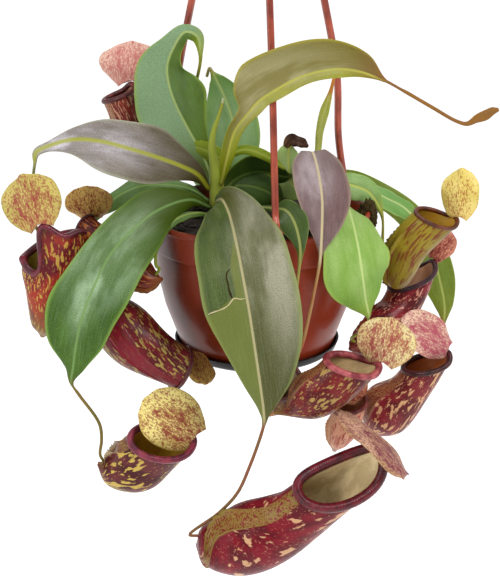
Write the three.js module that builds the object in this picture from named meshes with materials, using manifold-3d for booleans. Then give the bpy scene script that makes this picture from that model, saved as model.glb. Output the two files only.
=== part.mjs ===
// Tropical pitcher plant in a clip-on hanging pot.
// Millimetres, +Z up. The plant is laid out with the middle of the pot's rim at 0,0,0 and then lowered,
// so that the part's own origin is the inner top of the hook that it hangs from.

import * as THREE from "three";
import { mergeVertices } from "three/addons/utils/BufferGeometryUtils.js";
import Module from "manifold-3d";

const wasm = await Module();
wasm.setup();

// Driving sizes of the pot and its saucer
const rimRadius = 70;
const collarDepth = 20;
const potDepth = 90;
const potFloorRadius = 48;
const potWall = 1.8;
const soilDepth = 8;
const seatGap = 0.3;

// Driving sizes of the hanger
const hubHeight = 278;
const hookCentre = 312;
const hookInnerRadius = 9;
const hookRod = 2.6;
const armRod = 1.9;
const armAzimuths = { front: -81, right: 31, left: 155 };
const hangHeight = hookCentre + hookInnerRadius;

// Driving sizes of the plant
const bladeThickness = 1.2;
const tendrilRadius = 1.1;
const cupWall = 1.6;
const crown = { x: -25, y: -14, radius: 4.4, top: 26 };
const sideShoot = { x: 33, y: 22, radius: 3.6, top: 26 };

const towardFront = [0, -0.94, 0.33];

function finish(color, roughness, metalness = 0) {
  return new THREE.MeshStandardMaterial({ color, roughness, metalness });
}

const terracotta = finish(0xb0492c, 0.3);
const blackPlastic = finish(0x17181a, 0.45);
const soilBlack = finish(0x1d1713, 0.95);
const leafGreen = finish(0x4e7a35, 0.4);
const silverGreen = finish(0x6f7d68, 0.38);
const stemGreen = finish(0x8b9a2c, 0.5);
const cupRed = finish(0x8c1f2b, 0.4);
const rimCrimson = finish(0x5c0d1c, 0.2);
const lidYellow = finish(0xc9a04a, 0.5);

const plant = new THREE.Group();

function add(name, geometry, material) {
  const mesh = new THREE.Mesh(geometry, material);
  mesh.name = name;
  plant.add(mesh);
  return mesh;
}

function vector(numbers) {
  return new THREE.Vector3(numbers[0], numbers[1], numbers[2]);
}

function mix(from, to, share) {
  return from + (to - from) * share;
}

function ease(from, to, value) {
  return THREE.MathUtils.smoothstep(value, from, to);
}

// A list of numbers read at any share of its length, smoothly through each number
function readAlong(values, share) {
  const place = share * (values.length - 1);
  const i = Math.min(Math.floor(place), values.length - 2);
  const f = place - i;
  const before = values[Math.max(i - 1, 0)];
  const after = values[Math.min(i + 2, values.length - 1)];
  const startSlope = (values[i + 1] - before) / 2;
  const endSlope = (after - values[i]) / 2;
  const f2 = f * f;
  const f3 = f2 * f;
  return (2 * f3 - 3 * f2 + 1) * values[i] + (f3 - 2 * f2 + f) * startSlope
    + (3 * f2 - 2 * f3) * values[i + 1] + (f3 - f2) * endSlope;
}

// Closed body through rings of equally many points. Rings may close on the first ring again.
// From the point number lowerFrom on, the squares are split the other way, so that both faces of a blade match.
function skin(rings, { closed = false, lowerFrom = Infinity } = {}) {
  const size = rings[0].length;
  const corners = rings.flat().flatMap((p) => [p.x, p.y, p.z]);
  const faces = [];
  const spans = closed ? rings.length : rings.length - 1;
  for (let k = 0; k < spans; k += 1) {
    const here = k * size;
    const next = ((k + 1) % rings.length) * size;
    for (let i = 0; i < size; i += 1) {
      const j = (i + 1) % size;
      if (i < lowerFrom) {
        faces.push(here + i, here + j, next + j, here + i, next + j, next + i);
      } else {
        faces.push(here + i, here + j, next + i, here + j, next + j, next + i);
      }
    }
  }
  if (!closed) {
    const last = (rings.length - 1) * size;
    for (let i = 1; i < size - 1; i += 1) {
      faces.push(0, i + 1, i);
      faces.push(last, last + i, last + i + 1);
    }
  }
  const geometry = new THREE.BufferGeometry();
  geometry.setAttribute("position", new THREE.Float32BufferAttribute(corners, 3));
  geometry.setIndex(faces);
  return faceOut(geometry);
}

function signedVolume(geometry) {
  const position = geometry.getAttribute("position");
  const index = geometry.getIndex();
  const a = new THREE.Vector3();
  const b = new THREE.Vector3();
  const c = new THREE.Vector3();
  let volume = 0;
  for (let i = 0; i < index.count; i += 3) {
    a.fromBufferAttribute(position, index.getX(i));
    b.fromBufferAttribute(position, index.getX(i + 1));
    c.fromBufferAttribute(position, index.getX(i + 2));
    volume += a.dot(b.cross(c)) / 6;
  }
  return volume;
}

function faceOut(geometry) {
  if (signedVolume(geometry) < 0) {
    const index = geometry.getIndex();
    for (let i = 0; i < index.count; i += 3) {
      const first = index.getX(i);
      index.setX(i, index.getX(i + 1));
      index.setX(i + 1, first);
    }
  }
  return geometry;
}

function asSolid(geometry) {
  const bare = geometry.clone();
  for (const name of ["normal", "uv"]) bare.deleteAttribute(name);
  const merged = faceOut(mergeVertices(bare, 1e-4));
  return new wasm.Manifold(new wasm.Mesh({
    numProp: 3,
    vertProperties: new Float32Array(merged.getAttribute("position").array),
    triVerts: new Uint32Array(merged.getIndex().array),
  }));
}

function fromSolid(solid) {
  const mesh = solid.getMesh();
  const geometry = new THREE.BufferGeometry();
  geometry.setAttribute("position", new THREE.Float32BufferAttribute(mesh.vertProperties, 3));
  geometry.setIndex(Array.from(mesh.triVerts));
  return geometry;
}

// Turned body: a profile of radius and height pairs that closes on itself or on the axis
function turned(profile, sides) {
  const points = profile.map(([radius, height]) => new THREE.Vector2(radius, height));
  const geometry = new THREE.LatheGeometry(points, sides);
  geometry.rotateX(Math.PI / 2);
  return geometry;
}

// Round rod along rows of x, y, z and radius
function rod(rows, sides, perRow) {
  const curve = new THREE.CatmullRomCurve3(rows.map(vector), false, "centripetal");
  const steps = (rows.length - 1) * perRow;
  const across = new THREE.Vector3();
  const rings = [];
  for (let k = 0; k <= steps; k += 1) {
    const share = k / steps;
    const centre = curve.getPoint(share);
    const tangent = curve.getTangent(share);
    if (k === 0) across.set(0.31, 0.87, 0.38);
    across.addScaledVector(tangent, -across.dot(tangent)).normalize();
    const up = new THREE.Vector3().crossVectors(tangent, across);
    const radius = readAlong(rows.map((row) => row[3]), share);
    rings.push(Array.from({ length: sides }, (_, i) => {
      const angle = (2 * Math.PI * i) / sides;
      return centre.clone().addScaledVector(across, radius * Math.cos(angle))
        .addScaledVector(up, radius * Math.sin(angle));
    }));
  }
  return skin(rings);
}

// Inside of the pot from the rim down to its floor
const potInside = [
  [rimRadius - potWall, 0], [rimRadius - potWall - 0.6, -4], [rimRadius - 2 - potWall, -collarDepth + 0.6],
  [rimRadius - 5 - potWall, -collarDepth - 1.6], [rimRadius - 6.5 - potWall, -40], [rimRadius - 11 - potWall, -60],
  [potFloorRadius + 1.6 - potWall, -potDepth + 4.6], [potFloorRadius - 3, -potDepth + potWall],
];

// Pot: a collar that stands out over a tapered body, one moulded wall of even thickness
function pot() {
  const lip = rimRadius + 1.2;
  const collarFoot = rimRadius - 2;
  const shoulder = rimRadius - 5;
  const outer = [
    [lip, 0], [lip, -3], [rimRadius, -4], [collarFoot, -collarDepth],
    [shoulder, -collarDepth - 1], [shoulder - 1.5, -40], [shoulder - 6, -60],
    [potFloorRadius + 1.6, -potDepth + 4], [potFloorRadius - 1.5, -potDepth],
  ];
  return turned([[0, -potDepth], ...outer.reverse(), ...potInside, [0, -potDepth + potWall]], 32);
}

// Saucer: a thin black dish that the pot's floor stands in
function saucer() {
  const top = -potDepth + 5;
  const inside = potFloorRadius + 2.2;
  return turned([
    [0, -potDepth - 2.2], [potFloorRadius - 1, -potDepth - 2.2], [inside + 1.4, top - 4],
    [inside + 3, top], [inside + 1.6, top], [inside + 0.1, top - 4],
    [potFloorRadius - 0.8, -potDepth - seatGap - 0.4], [potFloorRadius - 6, -potDepth - seatGap],
    [0, -potDepth - seatGap],
  ], 32);
}

// Soil: fills the pot to just below its rim, with a hole for each stem
function soil() {
  const clear = seatGap + 0.1;
  const side = potInside.slice(2).reverse().map(([radius, height]) => [radius - clear, height + clear]);
  let body = asSolid(turned([
    [0, -potDepth + potWall + clear], ...side, [rimRadius - potWall - 1 - clear, -soilDepth - 1.5],
    [rimRadius - 10, -soilDepth], [30, -soilDepth + 1.5], [0, -soilDepth + 1],
  ], 32));
  for (const stem of [crown, sideShoot]) {
    const hole = new THREE.CylinderGeometry(stem.radius + seatGap + 0.1, stem.radius + seatGap + 0.1, 30, 12);
    hole.rotateX(Math.PI / 2);
    hole.translate(stem.x, stem.y, -soilDepth + 5);
    body = body.subtract(asSolid(hole));
  }
  return fromSolid(body);
}

add("pot", pot(), terracotta);
add("drip_saucer", saucer(), blackPlastic);
add("potting_soil", soil(), soilBlack);

// Hook: hub and open hook moulded in one, the arms come up to the hub's flat underside
function hook() {
  const hub = turned([[0, hubHeight], [6.5, hubHeight], [6.5, hubHeight + 7], [4, hubHeight + 13],
    [hookRod, hubHeight + 20], [0, hubHeight + 20]], 12);
  const bend = hookInnerRadius + hookRod;
  const rows = [[0, 0, hubHeight + 16, hookRod], [0.6, 0, hubHeight + 20, hookRod],
    [5.5, 0, hookCentre - bend + 2, hookRod]];
  for (const angle of [-35, 0, 40, 80, 120, 160, 200, 232]) {
    const turn = THREE.MathUtils.degToRad(angle);
    rows.push([bend * Math.cos(turn), 0, hookCentre + bend * Math.sin(turn), angle === 232 ? 2 : hookRod]);
  }
  return fromSolid(asSolid(hub).add(asSolid(rod(rows, 8, 2))));
}

// Arm: a thin rod from the hub down to a clip that straddles the rim
function arm(azimuth, bow) {
  const turn = THREE.MathUtils.degToRad(azimuth);
  const out = (radius, height) => [radius * Math.cos(turn), radius * Math.sin(turn), height, armRod];
  const rows = [out(3.6, hubHeight - 0.8), out(10, 248), out(25 + bow, 190), out(41 + bow, 130),
    out(53 + bow, 78), out(61, 40), out(64.6, 19), out(66.4, 12.6), out(69.2, 8.6), out(69.6, 4.6)];
  const clip = new THREE.Shape();
  const bottom = -6;
  const top = 5.4;
  const outside = rimRadius + 1.2 + seatGap;
  const inside = rimRadius - potWall - 0.6 - seatGap;
  clip.moveTo(outside + 1.7, bottom);
  clip.lineTo(outside + 1.7, top);
  clip.lineTo(inside - 1.6, top);
  clip.lineTo(inside - 1.6, -3);
  clip.lineTo(inside, -3);
  clip.lineTo(inside, seatGap);
  clip.lineTo(outside, seatGap);
  clip.lineTo(outside, bottom);
  clip.closePath();
  const width = 7;
  const block = new THREE.ExtrudeGeometry(clip, { depth: width, bevelEnabled: false });
  block.translate(0, 0, -width / 2);
  block.rotateX(Math.PI / 2);
  block.rotateZ(turn);
  return fromSolid(asSolid(rod(rows, 6, 2)).add(asSolid(block)));
}

add("hanger_hook", hook(), terracotta);
add("hanger_arm_front", arm(armAzimuths.front, 2), terracotta);
add("hanger_arm_right", arm(armAzimuths.right, 6), terracotta);
add("hanger_arm_left", arm(armAzimuths.left, 2), terracotta);

// Stems: the short crown with its rolled young leaf, and the second shoot
function stemRows(stem) {
  const foot = -soilDepth - 8;
  return [[stem.x, stem.y, foot, stem.radius], [stem.x, stem.y, 0, stem.radius],
    [stem.x, stem.y, stem.top - 3, stem.radius]];
}

add("crown_stem", rod([...stemRows(crown), [-26, -14, 31, 3.4], [-26.6, -15, 42, 2.6],
  [-24, -15, 55, 1.7], [-21.4, -15, 66, 1], [-20.6, -15, 74, 0.6]], 8, 2), stemGreen);

// First point of a leaf: just clear of the stem that it grows from
function onStem(stem, azimuth, height) {
  const turn = THREE.MathUtils.degToRad(azimuth);
  const reach = stem.radius + 0.8;
  return [stem.x + reach * Math.cos(turn), stem.y + reach * Math.sin(turn), height, 0.6, 0.6];
}

// Blade: rows of x, y, z, half width on one side, half width on the other, roll in degrees.
// A row with no widths is part of a stalk or tendril. The roll turns the blade from facing the given way.
// The hollow lifts both edges above the midrib, as a share of the half width, or drops them where negative.
function blade(rows, { face = towardFront, faceStart = face, hollow = 0.12, perRow = 2,
  thickness = bladeThickness } = {}) {
  const curve = new THREE.CatmullRomCurve3(rows.map(vector), false, "centripetal");
  const spans = rows.length - 1;
  const bladeEnd = rows.findLastIndex((row) => (row[3] ?? 0) > 1.5) + 1;
  const places = [];
  for (let i = 0; i < spans; i += 1) {
    const pieces = i < bladeEnd ? perRow : 1;
    for (let k = 0; k < pieces; k += 1) places.push(i + k / pieces);
  }
  places.push(spans);
  const across = new THREE.Vector3();
  const widths = [3, 4].map((column) => rows.map((row) => row[column] ?? tendrilRadius));
  const rolls = rows.map((row) => row[5] ?? 0);
  const rings = [];
  for (const place of places) {
    const share = place / spans;
    const centre = curve.getPoint(share);
    const tangent = curve.getTangent(share);
    const shown = vector(faceStart).normalize().lerp(vector(face).normalize(), ease(0, 0.3, share)).normalize();
    const roll = THREE.MathUtils.degToRad(readAlong(rolls, share));
    if (place <= bladeEnd) across.crossVectors(tangent, shown).applyAxisAngle(tangent, roll);
    across.addScaledVector(tangent, -across.dot(tangent)).normalize();
    const up = new THREE.Vector3().crossVectors(across, tangent);
    const [left, right] = widths.map((values) => Math.max(readAlong(values, share), 0.6));
    const wide = Math.min(left, right);
    const thick = Math.min(2 * wide, Math.max(thickness, 2.9 - 0.18 * wide));
    const at = (side, lift) => {
      const reach = side > 0 ? left : right;
      const raise = wide > 2.5 ? hollow * reach * side * side : 0;
      return centre.clone().addScaledVector(across, side * reach).addScaledVector(up, raise + lift);
    };
    rings.push([at(1, 0), at(0.5, 0.43 * thick), at(0, 0.5 * thick), at(-0.5, 0.43 * thick),
      at(-1, 0), at(-0.5, -0.43 * thick), at(0, -0.5 * thick), at(0.5, -0.43 * thick)]);
  }
  return skin(rings, { lowerFrom: 4 });
}

// Pitcher: the frames of its cup, from the pole at its foot to the oblique mouth.
// The twist turns the wings round the body, below the mouth, in degrees.
function cupFrames(pitcher) {
  const { rows, mouth, toHinge, side, foot, twist = 0, dip = 0 } = pitcher;
  const curve = new THREE.CatmullRomCurve3([...rows, mouth].map(vector), false, "centripetal");
  const radii = rows.map((row) => row[3]);
  const hinge = vector(toHinge);
  const halfLength = hinge.length();
  const halfWidth = vector(side).length();
  const mouthNormal = new THREE.Vector3().crossVectors(hinge, vector(side)).normalize();
  if (mouthNormal.dot(curve.getTangent(0.95)) < 0) mouthNormal.negate();
  radii.push((halfLength + halfWidth) / 2);
  const middle = curve.getPoint(0.8).sub(curve.getPoint(0.3)).normalize();
  const start = foot ? vector(foot).normalize() : curve.getPoint(0.3).sub(curve.getPoint(0)).normalize();
  return (share) => {
    const centre = curve.getPoint(share);
    const open = ease(0.35, 1, share);
    const normal = start.clone().lerp(middle, ease(0, 0.45, share)).lerp(mouthNormal, open).normalize();
    const back = hinge.clone().addScaledVector(normal, -hinge.dot(normal)).normalize();
    back.applyAxisAngle(normal, THREE.MathUtils.degToRad(twist) * (1 - open));
    const across = new THREE.Vector3().crossVectors(normal, back);
    const radius = readAlong(radii, share);
    return {
      centre, normal, back, across, open, dip,
      long: mix(radius, halfLength, open),
      wide: mix(radius, halfWidth, open),
    };
  };
}

// How far the rim climbs towards the lid at a given angle from the hinge. Its sides may dip.
function neckRise(angle, neck) {
  return neck * Math.max(0, Math.cos(angle)) ** 6;
}

function cupPoint(frame, angle, proud, neck) {
  const raise = frame.open ** 3 * (neckRise(angle, neck) - frame.dip * Math.sin(angle) ** 2);
  return frame.centre.clone()
    .addScaledVector(frame.back, (frame.long + proud) * Math.cos(angle))
    .addScaledVector(frame.across, (frame.wide + proud) * Math.sin(angle))
    .addScaledVector(frame.normal, raise);
}

const cupAngles = [0, 34, 68, 98, 126, 150, 163, 180, 197, 210, 234, 262, 292, 326]
  .map((angle) => THREE.MathUtils.degToRad(angle));
const wingPlaces = [6, 8];

function cup(pitcher) {
  const frameAt = cupFrames(pitcher);
  const neck = pitcher.neck ?? 3;
  const wing = pitcher.wing ?? 2;
  const wall = pitcher.wall ?? cupWall;
  const outerShares = pitcher.plain ? [0, 0.12, 0.3, 0.55, 0.8, 1] : [0, 0.06, 0.16, 0.3, 0.48, 0.66, 0.84, 1];
  const innerShares = outerShares.slice(2).reverse();
  const rings = outerShares.map((share) => {
    const frame = frameAt(share);
    const proud = wing * Math.sin(Math.PI * Math.min(1, share / 0.92)) * (share < 0.92 ? 1 : 0);
    return cupAngles.map((angle, i) => cupPoint(frame, angle, wingPlaces.includes(i) ? proud : 0, neck));
  });
  for (const share of innerShares) {
    const frame = frameAt(share);
    rings.push(cupAngles.map((angle) => cupPoint(frame, angle, -wall, neck)));
  }
  return skin(rings);
}

// Rolled rim on the cup's edge, a little wider than the wall on both sides
function rolledRim(pitcher) {
  const frame = cupFrames(pitcher)(1);
  const neck = pitcher.neck ?? 3;
  const scale = (pitcher.lip ?? 3.2) / 4;
  const section = [[-1.9, 0.35], [-2.2, 1.5], [-0.4, 2.6], [1.9, 2.2], [2.6, 0.35]];
  const rings = cupAngles.map((angle) => {
    const centre = cupPoint(frame, angle, -cupWall / 2, neck);
    const out = frame.back.clone().multiplyScalar(Math.cos(angle))
      .addScaledVector(frame.across, Math.sin(angle)).normalize();
    return section.map(([reach, height]) => centre.clone().addScaledVector(out, reach * scale)
      .addScaledVector(frame.normal, height * (height < 0.5 ? 1 : scale)));
  });
  return skin(rings, { closed: true });
}

// Lid: a short broad blade. Its stalk end stands just above the neck, or, where a lobe is given,
// the blade passes just above the neck and reaches that far behind it.
function lid(pitcher, sunk = 0) {
  const { tip, width, face, arch = 2, lobe = 0, clear = 0 } = pitcher.lid;
  const frame = cupFrames(pitcher)(1);
  const lipTop = 2.6 * ((pitcher.lip ?? 3.2) / 4);
  const lift = lipTop + (lobe ? 1.1 : 0.6) + clear - sunk;
  const from = cupPoint(frame, 0, 0, pitcher.neck ?? 3).addScaledVector(frame.normal, lift);
  const to = vector(tip);
  const along = to.clone().sub(from);
  from.addScaledVector(along.clone().normalize(), lobe ? -lobe : 0.9);
  along.copy(to).sub(from);
  const shown = vector(face);
  shown.addScaledVector(along, -shown.dot(along) / along.lengthSq()).normalize();
  const places = [[0, 0.9 / width], [0.06, 0.5], [0.22, 0.88], [0.48, 1], [0.74, 0.9], [0.93, 0.52], [1, 0.12]];
  const rows = places.map(([place, wide]) => {
    const point = from.clone().addScaledVector(along, place)
      .addScaledVector(shown, arch * Math.sin(Math.PI * place));
    return [point.x, point.y, point.z, width * wide, width * wide];
  });
  return blade(rows, { face: [shown.x, shown.y, shown.z], hollow: -0.16, perRow: 1, thickness: 1.1 });
}

const pitchers = {
  front: {
    rows: [[-36.5, -97, -186, 1.2], [-29, -97, -187.5, 11], [-19, -96.5, -186, 17.5],
      [-7, -96, -181, 21.5], [7, -96, -172.5, 23], [21, -98, -161.5, 21], [32, -101, -151, 20.5]],
    foot: [0.95, 0, 0.05], twist: -15, mouth: [48.5, -106, -132.5], toHinge: [25, 4, 10], side: [5, -13, -12],
    lip: 5, neck: 6, wing: 3, wall: 2.2, seat: { share: 0.1, toward: [-0.3, 0, 1] },
    lid: { tip: [47, -93, -97], width: 14, face: [0.55, -0.14, 0.8], arch: 3, lobe: 17, clear: -1.4 },
  },
  right_front: {
    rows: [[10.5, -91, -99.5, 1.2], [18.5, -92, -98, 3.4], [28, -93.5, -91.5, 11.4], [37.5, -95, -83.5, 14.3],
      [46.5, -96, -75.5, 13.5]],
    mouth: [54.3, -96, -67], toHinge: [15.5, 3, -4], side: [-1, -13, -1],
    lip: 3.4, neck: 3, wing: 2,
    lid: { tip: [77.5, -88, -41], width: 17.5, face: [-0.25, -0.95, 0.2], arch: 3, clear: -0.9 },
  },
  right_low: {
    rows: [[76, -41, -131, 1.2], [80, -42, -128, 9], [85, -45, -122, 14], [91, -47, -111, 15],
      [98, -48, -98, 12.8]],
    mouth: [104.5, -48, -86], toHinge: [14.5, 5, 3], side: [0, -12.5, -1],
    lip: 3, neck: 3, wing: 2, seat: { share: 0.12, toward: [-0.6, 0.8, 0] },
    lid: { tip: [87, -53, -54.5], width: 13.5, face: [-0.3, -0.7, 0.65], arch: 3 },
  },
  right_mid: {
    rows: [[57.5, -40, -79.5, 1.2], [63, -35, -79.5, 6.5], [74, -24, -77, 10.3], [86, -12, -69, 10.8],
      [95, -4, -58, 11]],
    mouth: [100, 0, -46.5], toHinge: [15, 7, 5.5], side: [0, -11, -2],
    lip: 2.8, neck: 4, wing: 1.6, wall: 2.2, seat: { share: 0.12, toward: [-0.2, -0.3, 0.9] },
    lid: { tip: [126, 15, -21], width: 9, face: [-0.4, -0.7, 0.6], arch: 2, clear: -0.5 },
  },
  right_top: {
    rows: [[83.5, -19, -46, 1.2], [87, -24, -40, 7.5], [91, -29, -28.5, 12], [96, -33, -16, 13],
      [102.5, -35, -5.5, 12.6]],
    mouth: [109, -36, 4.5], toHinge: [14.5, 4, -4], side: [-2, -12.5, -1.5],
    lip: 2.6, neck: 2.5, wing: 2, seat: { share: 0.14, toward: [0.1, 1, 0] },
    lid: { tip: [123.5, -26, 32], width: 12, face: [-0.45, -0.87, 0.2], arch: 3, clear: -0.7 },
  },
  behind_front: {
    rows: [[48, -57, -141, 1.2], [50, -58, -134, 6.3], [53, -60, -124, 9.6], [55, -60, -116, 10]],
    mouth: [57, -60, -109], toHinge: [10, 4, 2.5], side: [0, -9.5, -1],
    lip: 2.6, neck: 2.5, wing: 1.4, plain: true, seat: { share: 0.18, toward: [0, 1, 0] },
    lid: { tip: [50, -61, -92], width: 10, face: [-0.2, -0.8, 0.55], arch: 2 },
  },
  under_leaf: {
    rows: [[4, -64, -113, 1.2], [7, -65, -108, 6.5], [11, -68, -101, 10], [14, -71, -94, 10.3]],
    mouth: [16, -74, -87], toHinge: [5.5, 4, 9], side: [8.5, -7, -2],
    lip: 2.6, neck: 2.5, wing: 1.4, plain: true, seat: { share: 0.2, toward: [0, 1, 0] },
    lid: { tip: [10, -67, -64], width: 7, face: [-0.3, -0.8, 0.5], arch: 1.5 },
  },
  left: {
    rows: [[-132, -46, -69, 1.2], [-129.5, -45.5, -63, 8.5], [-126.5, -44, -50, 13],
      [-125, -43, -36, 13.6], [-124.5, -43, -23, 12.6]],
    mouth: [-124, -44, -7.5], toHinge: [0, -10, 3], side: [-18.5, 0, -7], dip: 7,
    lip: 3.4, neck: 8, wing: 2, seat: { share: 0.14, toward: [0, 1, 0] },
    lid: { tip: [-134, -40, 32.5], width: 18.5, face: [-0.2, -0.9, 0.4], arch: 3, clear: -0.9 },
  },
  left_back: {
    rows: [[-57, -54, -29, 1.2], [-63, -51, -31.5, 6.5], [-72, -44.5, -27.5, 10], [-82.5, -36, -22, 10.3],
      [-94, -28.5, -16, 9.8]],
    mouth: [-104, -24, -9], toHinge: [5, 6, 7], side: [-6, -9, 2],
    lip: 2.8, neck: 3, wing: 1.5, plain: true, seat: { share: 0.12, toward: [0.4, -0.3, 0.9] },
    lid: { tip: [-105, -18, 19], width: 15, face: [-0.1, -0.9, 0.4], arch: 2 },
  },
  top_left: {
    rows: [[-75, 24, 14.6, 1.2], [-74.5, 23.5, 21, 6.4], [-76, 22, 33.5, 9.4], [-79, 21, 46.5, 9.2],
      [-82.5, 20, 58, 9.6]],
    mouth: [-86, 19, 68], toHinge: [8, 8, 3], side: [4, -9, 1],
    lip: 2.8, neck: 3, wing: 1.5, seat: { share: 0.14, toward: [0.7, 0.7, 0] },
    lid: { tip: [-78, 33, 99], width: 21, face: [-0.1, -0.95, 0.2], arch: 3, clear: -1 },
  },
  left_low: {
    rows: [[-99, -29, -49, 1.2], [-95, -33, -53.5, 9.5], [-87, -38.5, -62, 16.5], [-74, -45.5, -72, 19],
      [-60, -52, -79.5, 17]],
    mouth: [-47, -58, -84.5], toHinge: [1, 9, 9], side: [7, -11, 8],
    lip: 3.2, neck: 3, wing: 2.4, seat: { share: 0.1, toward: [-0.3, 0.6, 0.7] },
    lid: { tip: [-31, -64, -93], width: 11, face: [0.6, -0.7, 0.3], arch: 2, clear: 0.8 },
  },
  left_front: {
    rows: [[-98, -70, -143, 1.2], [-92.5, -70.5, -148.5, 8], [-84, -71, -149.5, 12.6],
      [-74.5, -72, -144.5, 15.2], [-67, -73, -135.5, 15.2]],
    foot: [0.9, 0, -0.3], mouth: [-58, -75, -126], toHinge: [19, 6, -3.5], side: [-5, -13, -4],
    lip: 3.6, neck: 3, wing: 2, seat: { share: 0.12, toward: [-0.6, 0, 0.8] },
    lid: { tip: [-68, -78, -96.5], width: 18.5, face: [0.1, -0.92, 0.35], arch: 3 },
  },
};

// Where a tendril meets its pitcher: two last rows that run straight at the cup's outside, near its foot
function toPitcher(name) {
  const { seat } = pitchers[name];
  const frameAt = cupFrames(pitchers[name]);
  const frame = frameAt(seat?.share ?? 0);
  let out = frame.normal.clone().negate();
  let touch = frame.centre.clone();
  if (seat) {
    const toward = vector(seat.toward);
    const angle = Math.atan2(toward.dot(frame.across), toward.dot(frame.back));
    touch = cupPoint(frame, angle, 0, 0);
    const along = cupPoint(frameAt(seat.share + 0.02), angle, 0, 0).sub(touch);
    const around = cupPoint(frame, angle + 0.05, 0, 0).sub(touch);
    out = around.cross(along).normalize();
    if (out.dot(touch.clone().sub(frame.centre)) < 0) out.negate();
  }
  return [5, 0.45].map((reach) => [...touch.clone().addScaledVector(out, reach).toArray(), 0.9, 0.9]);
}

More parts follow.
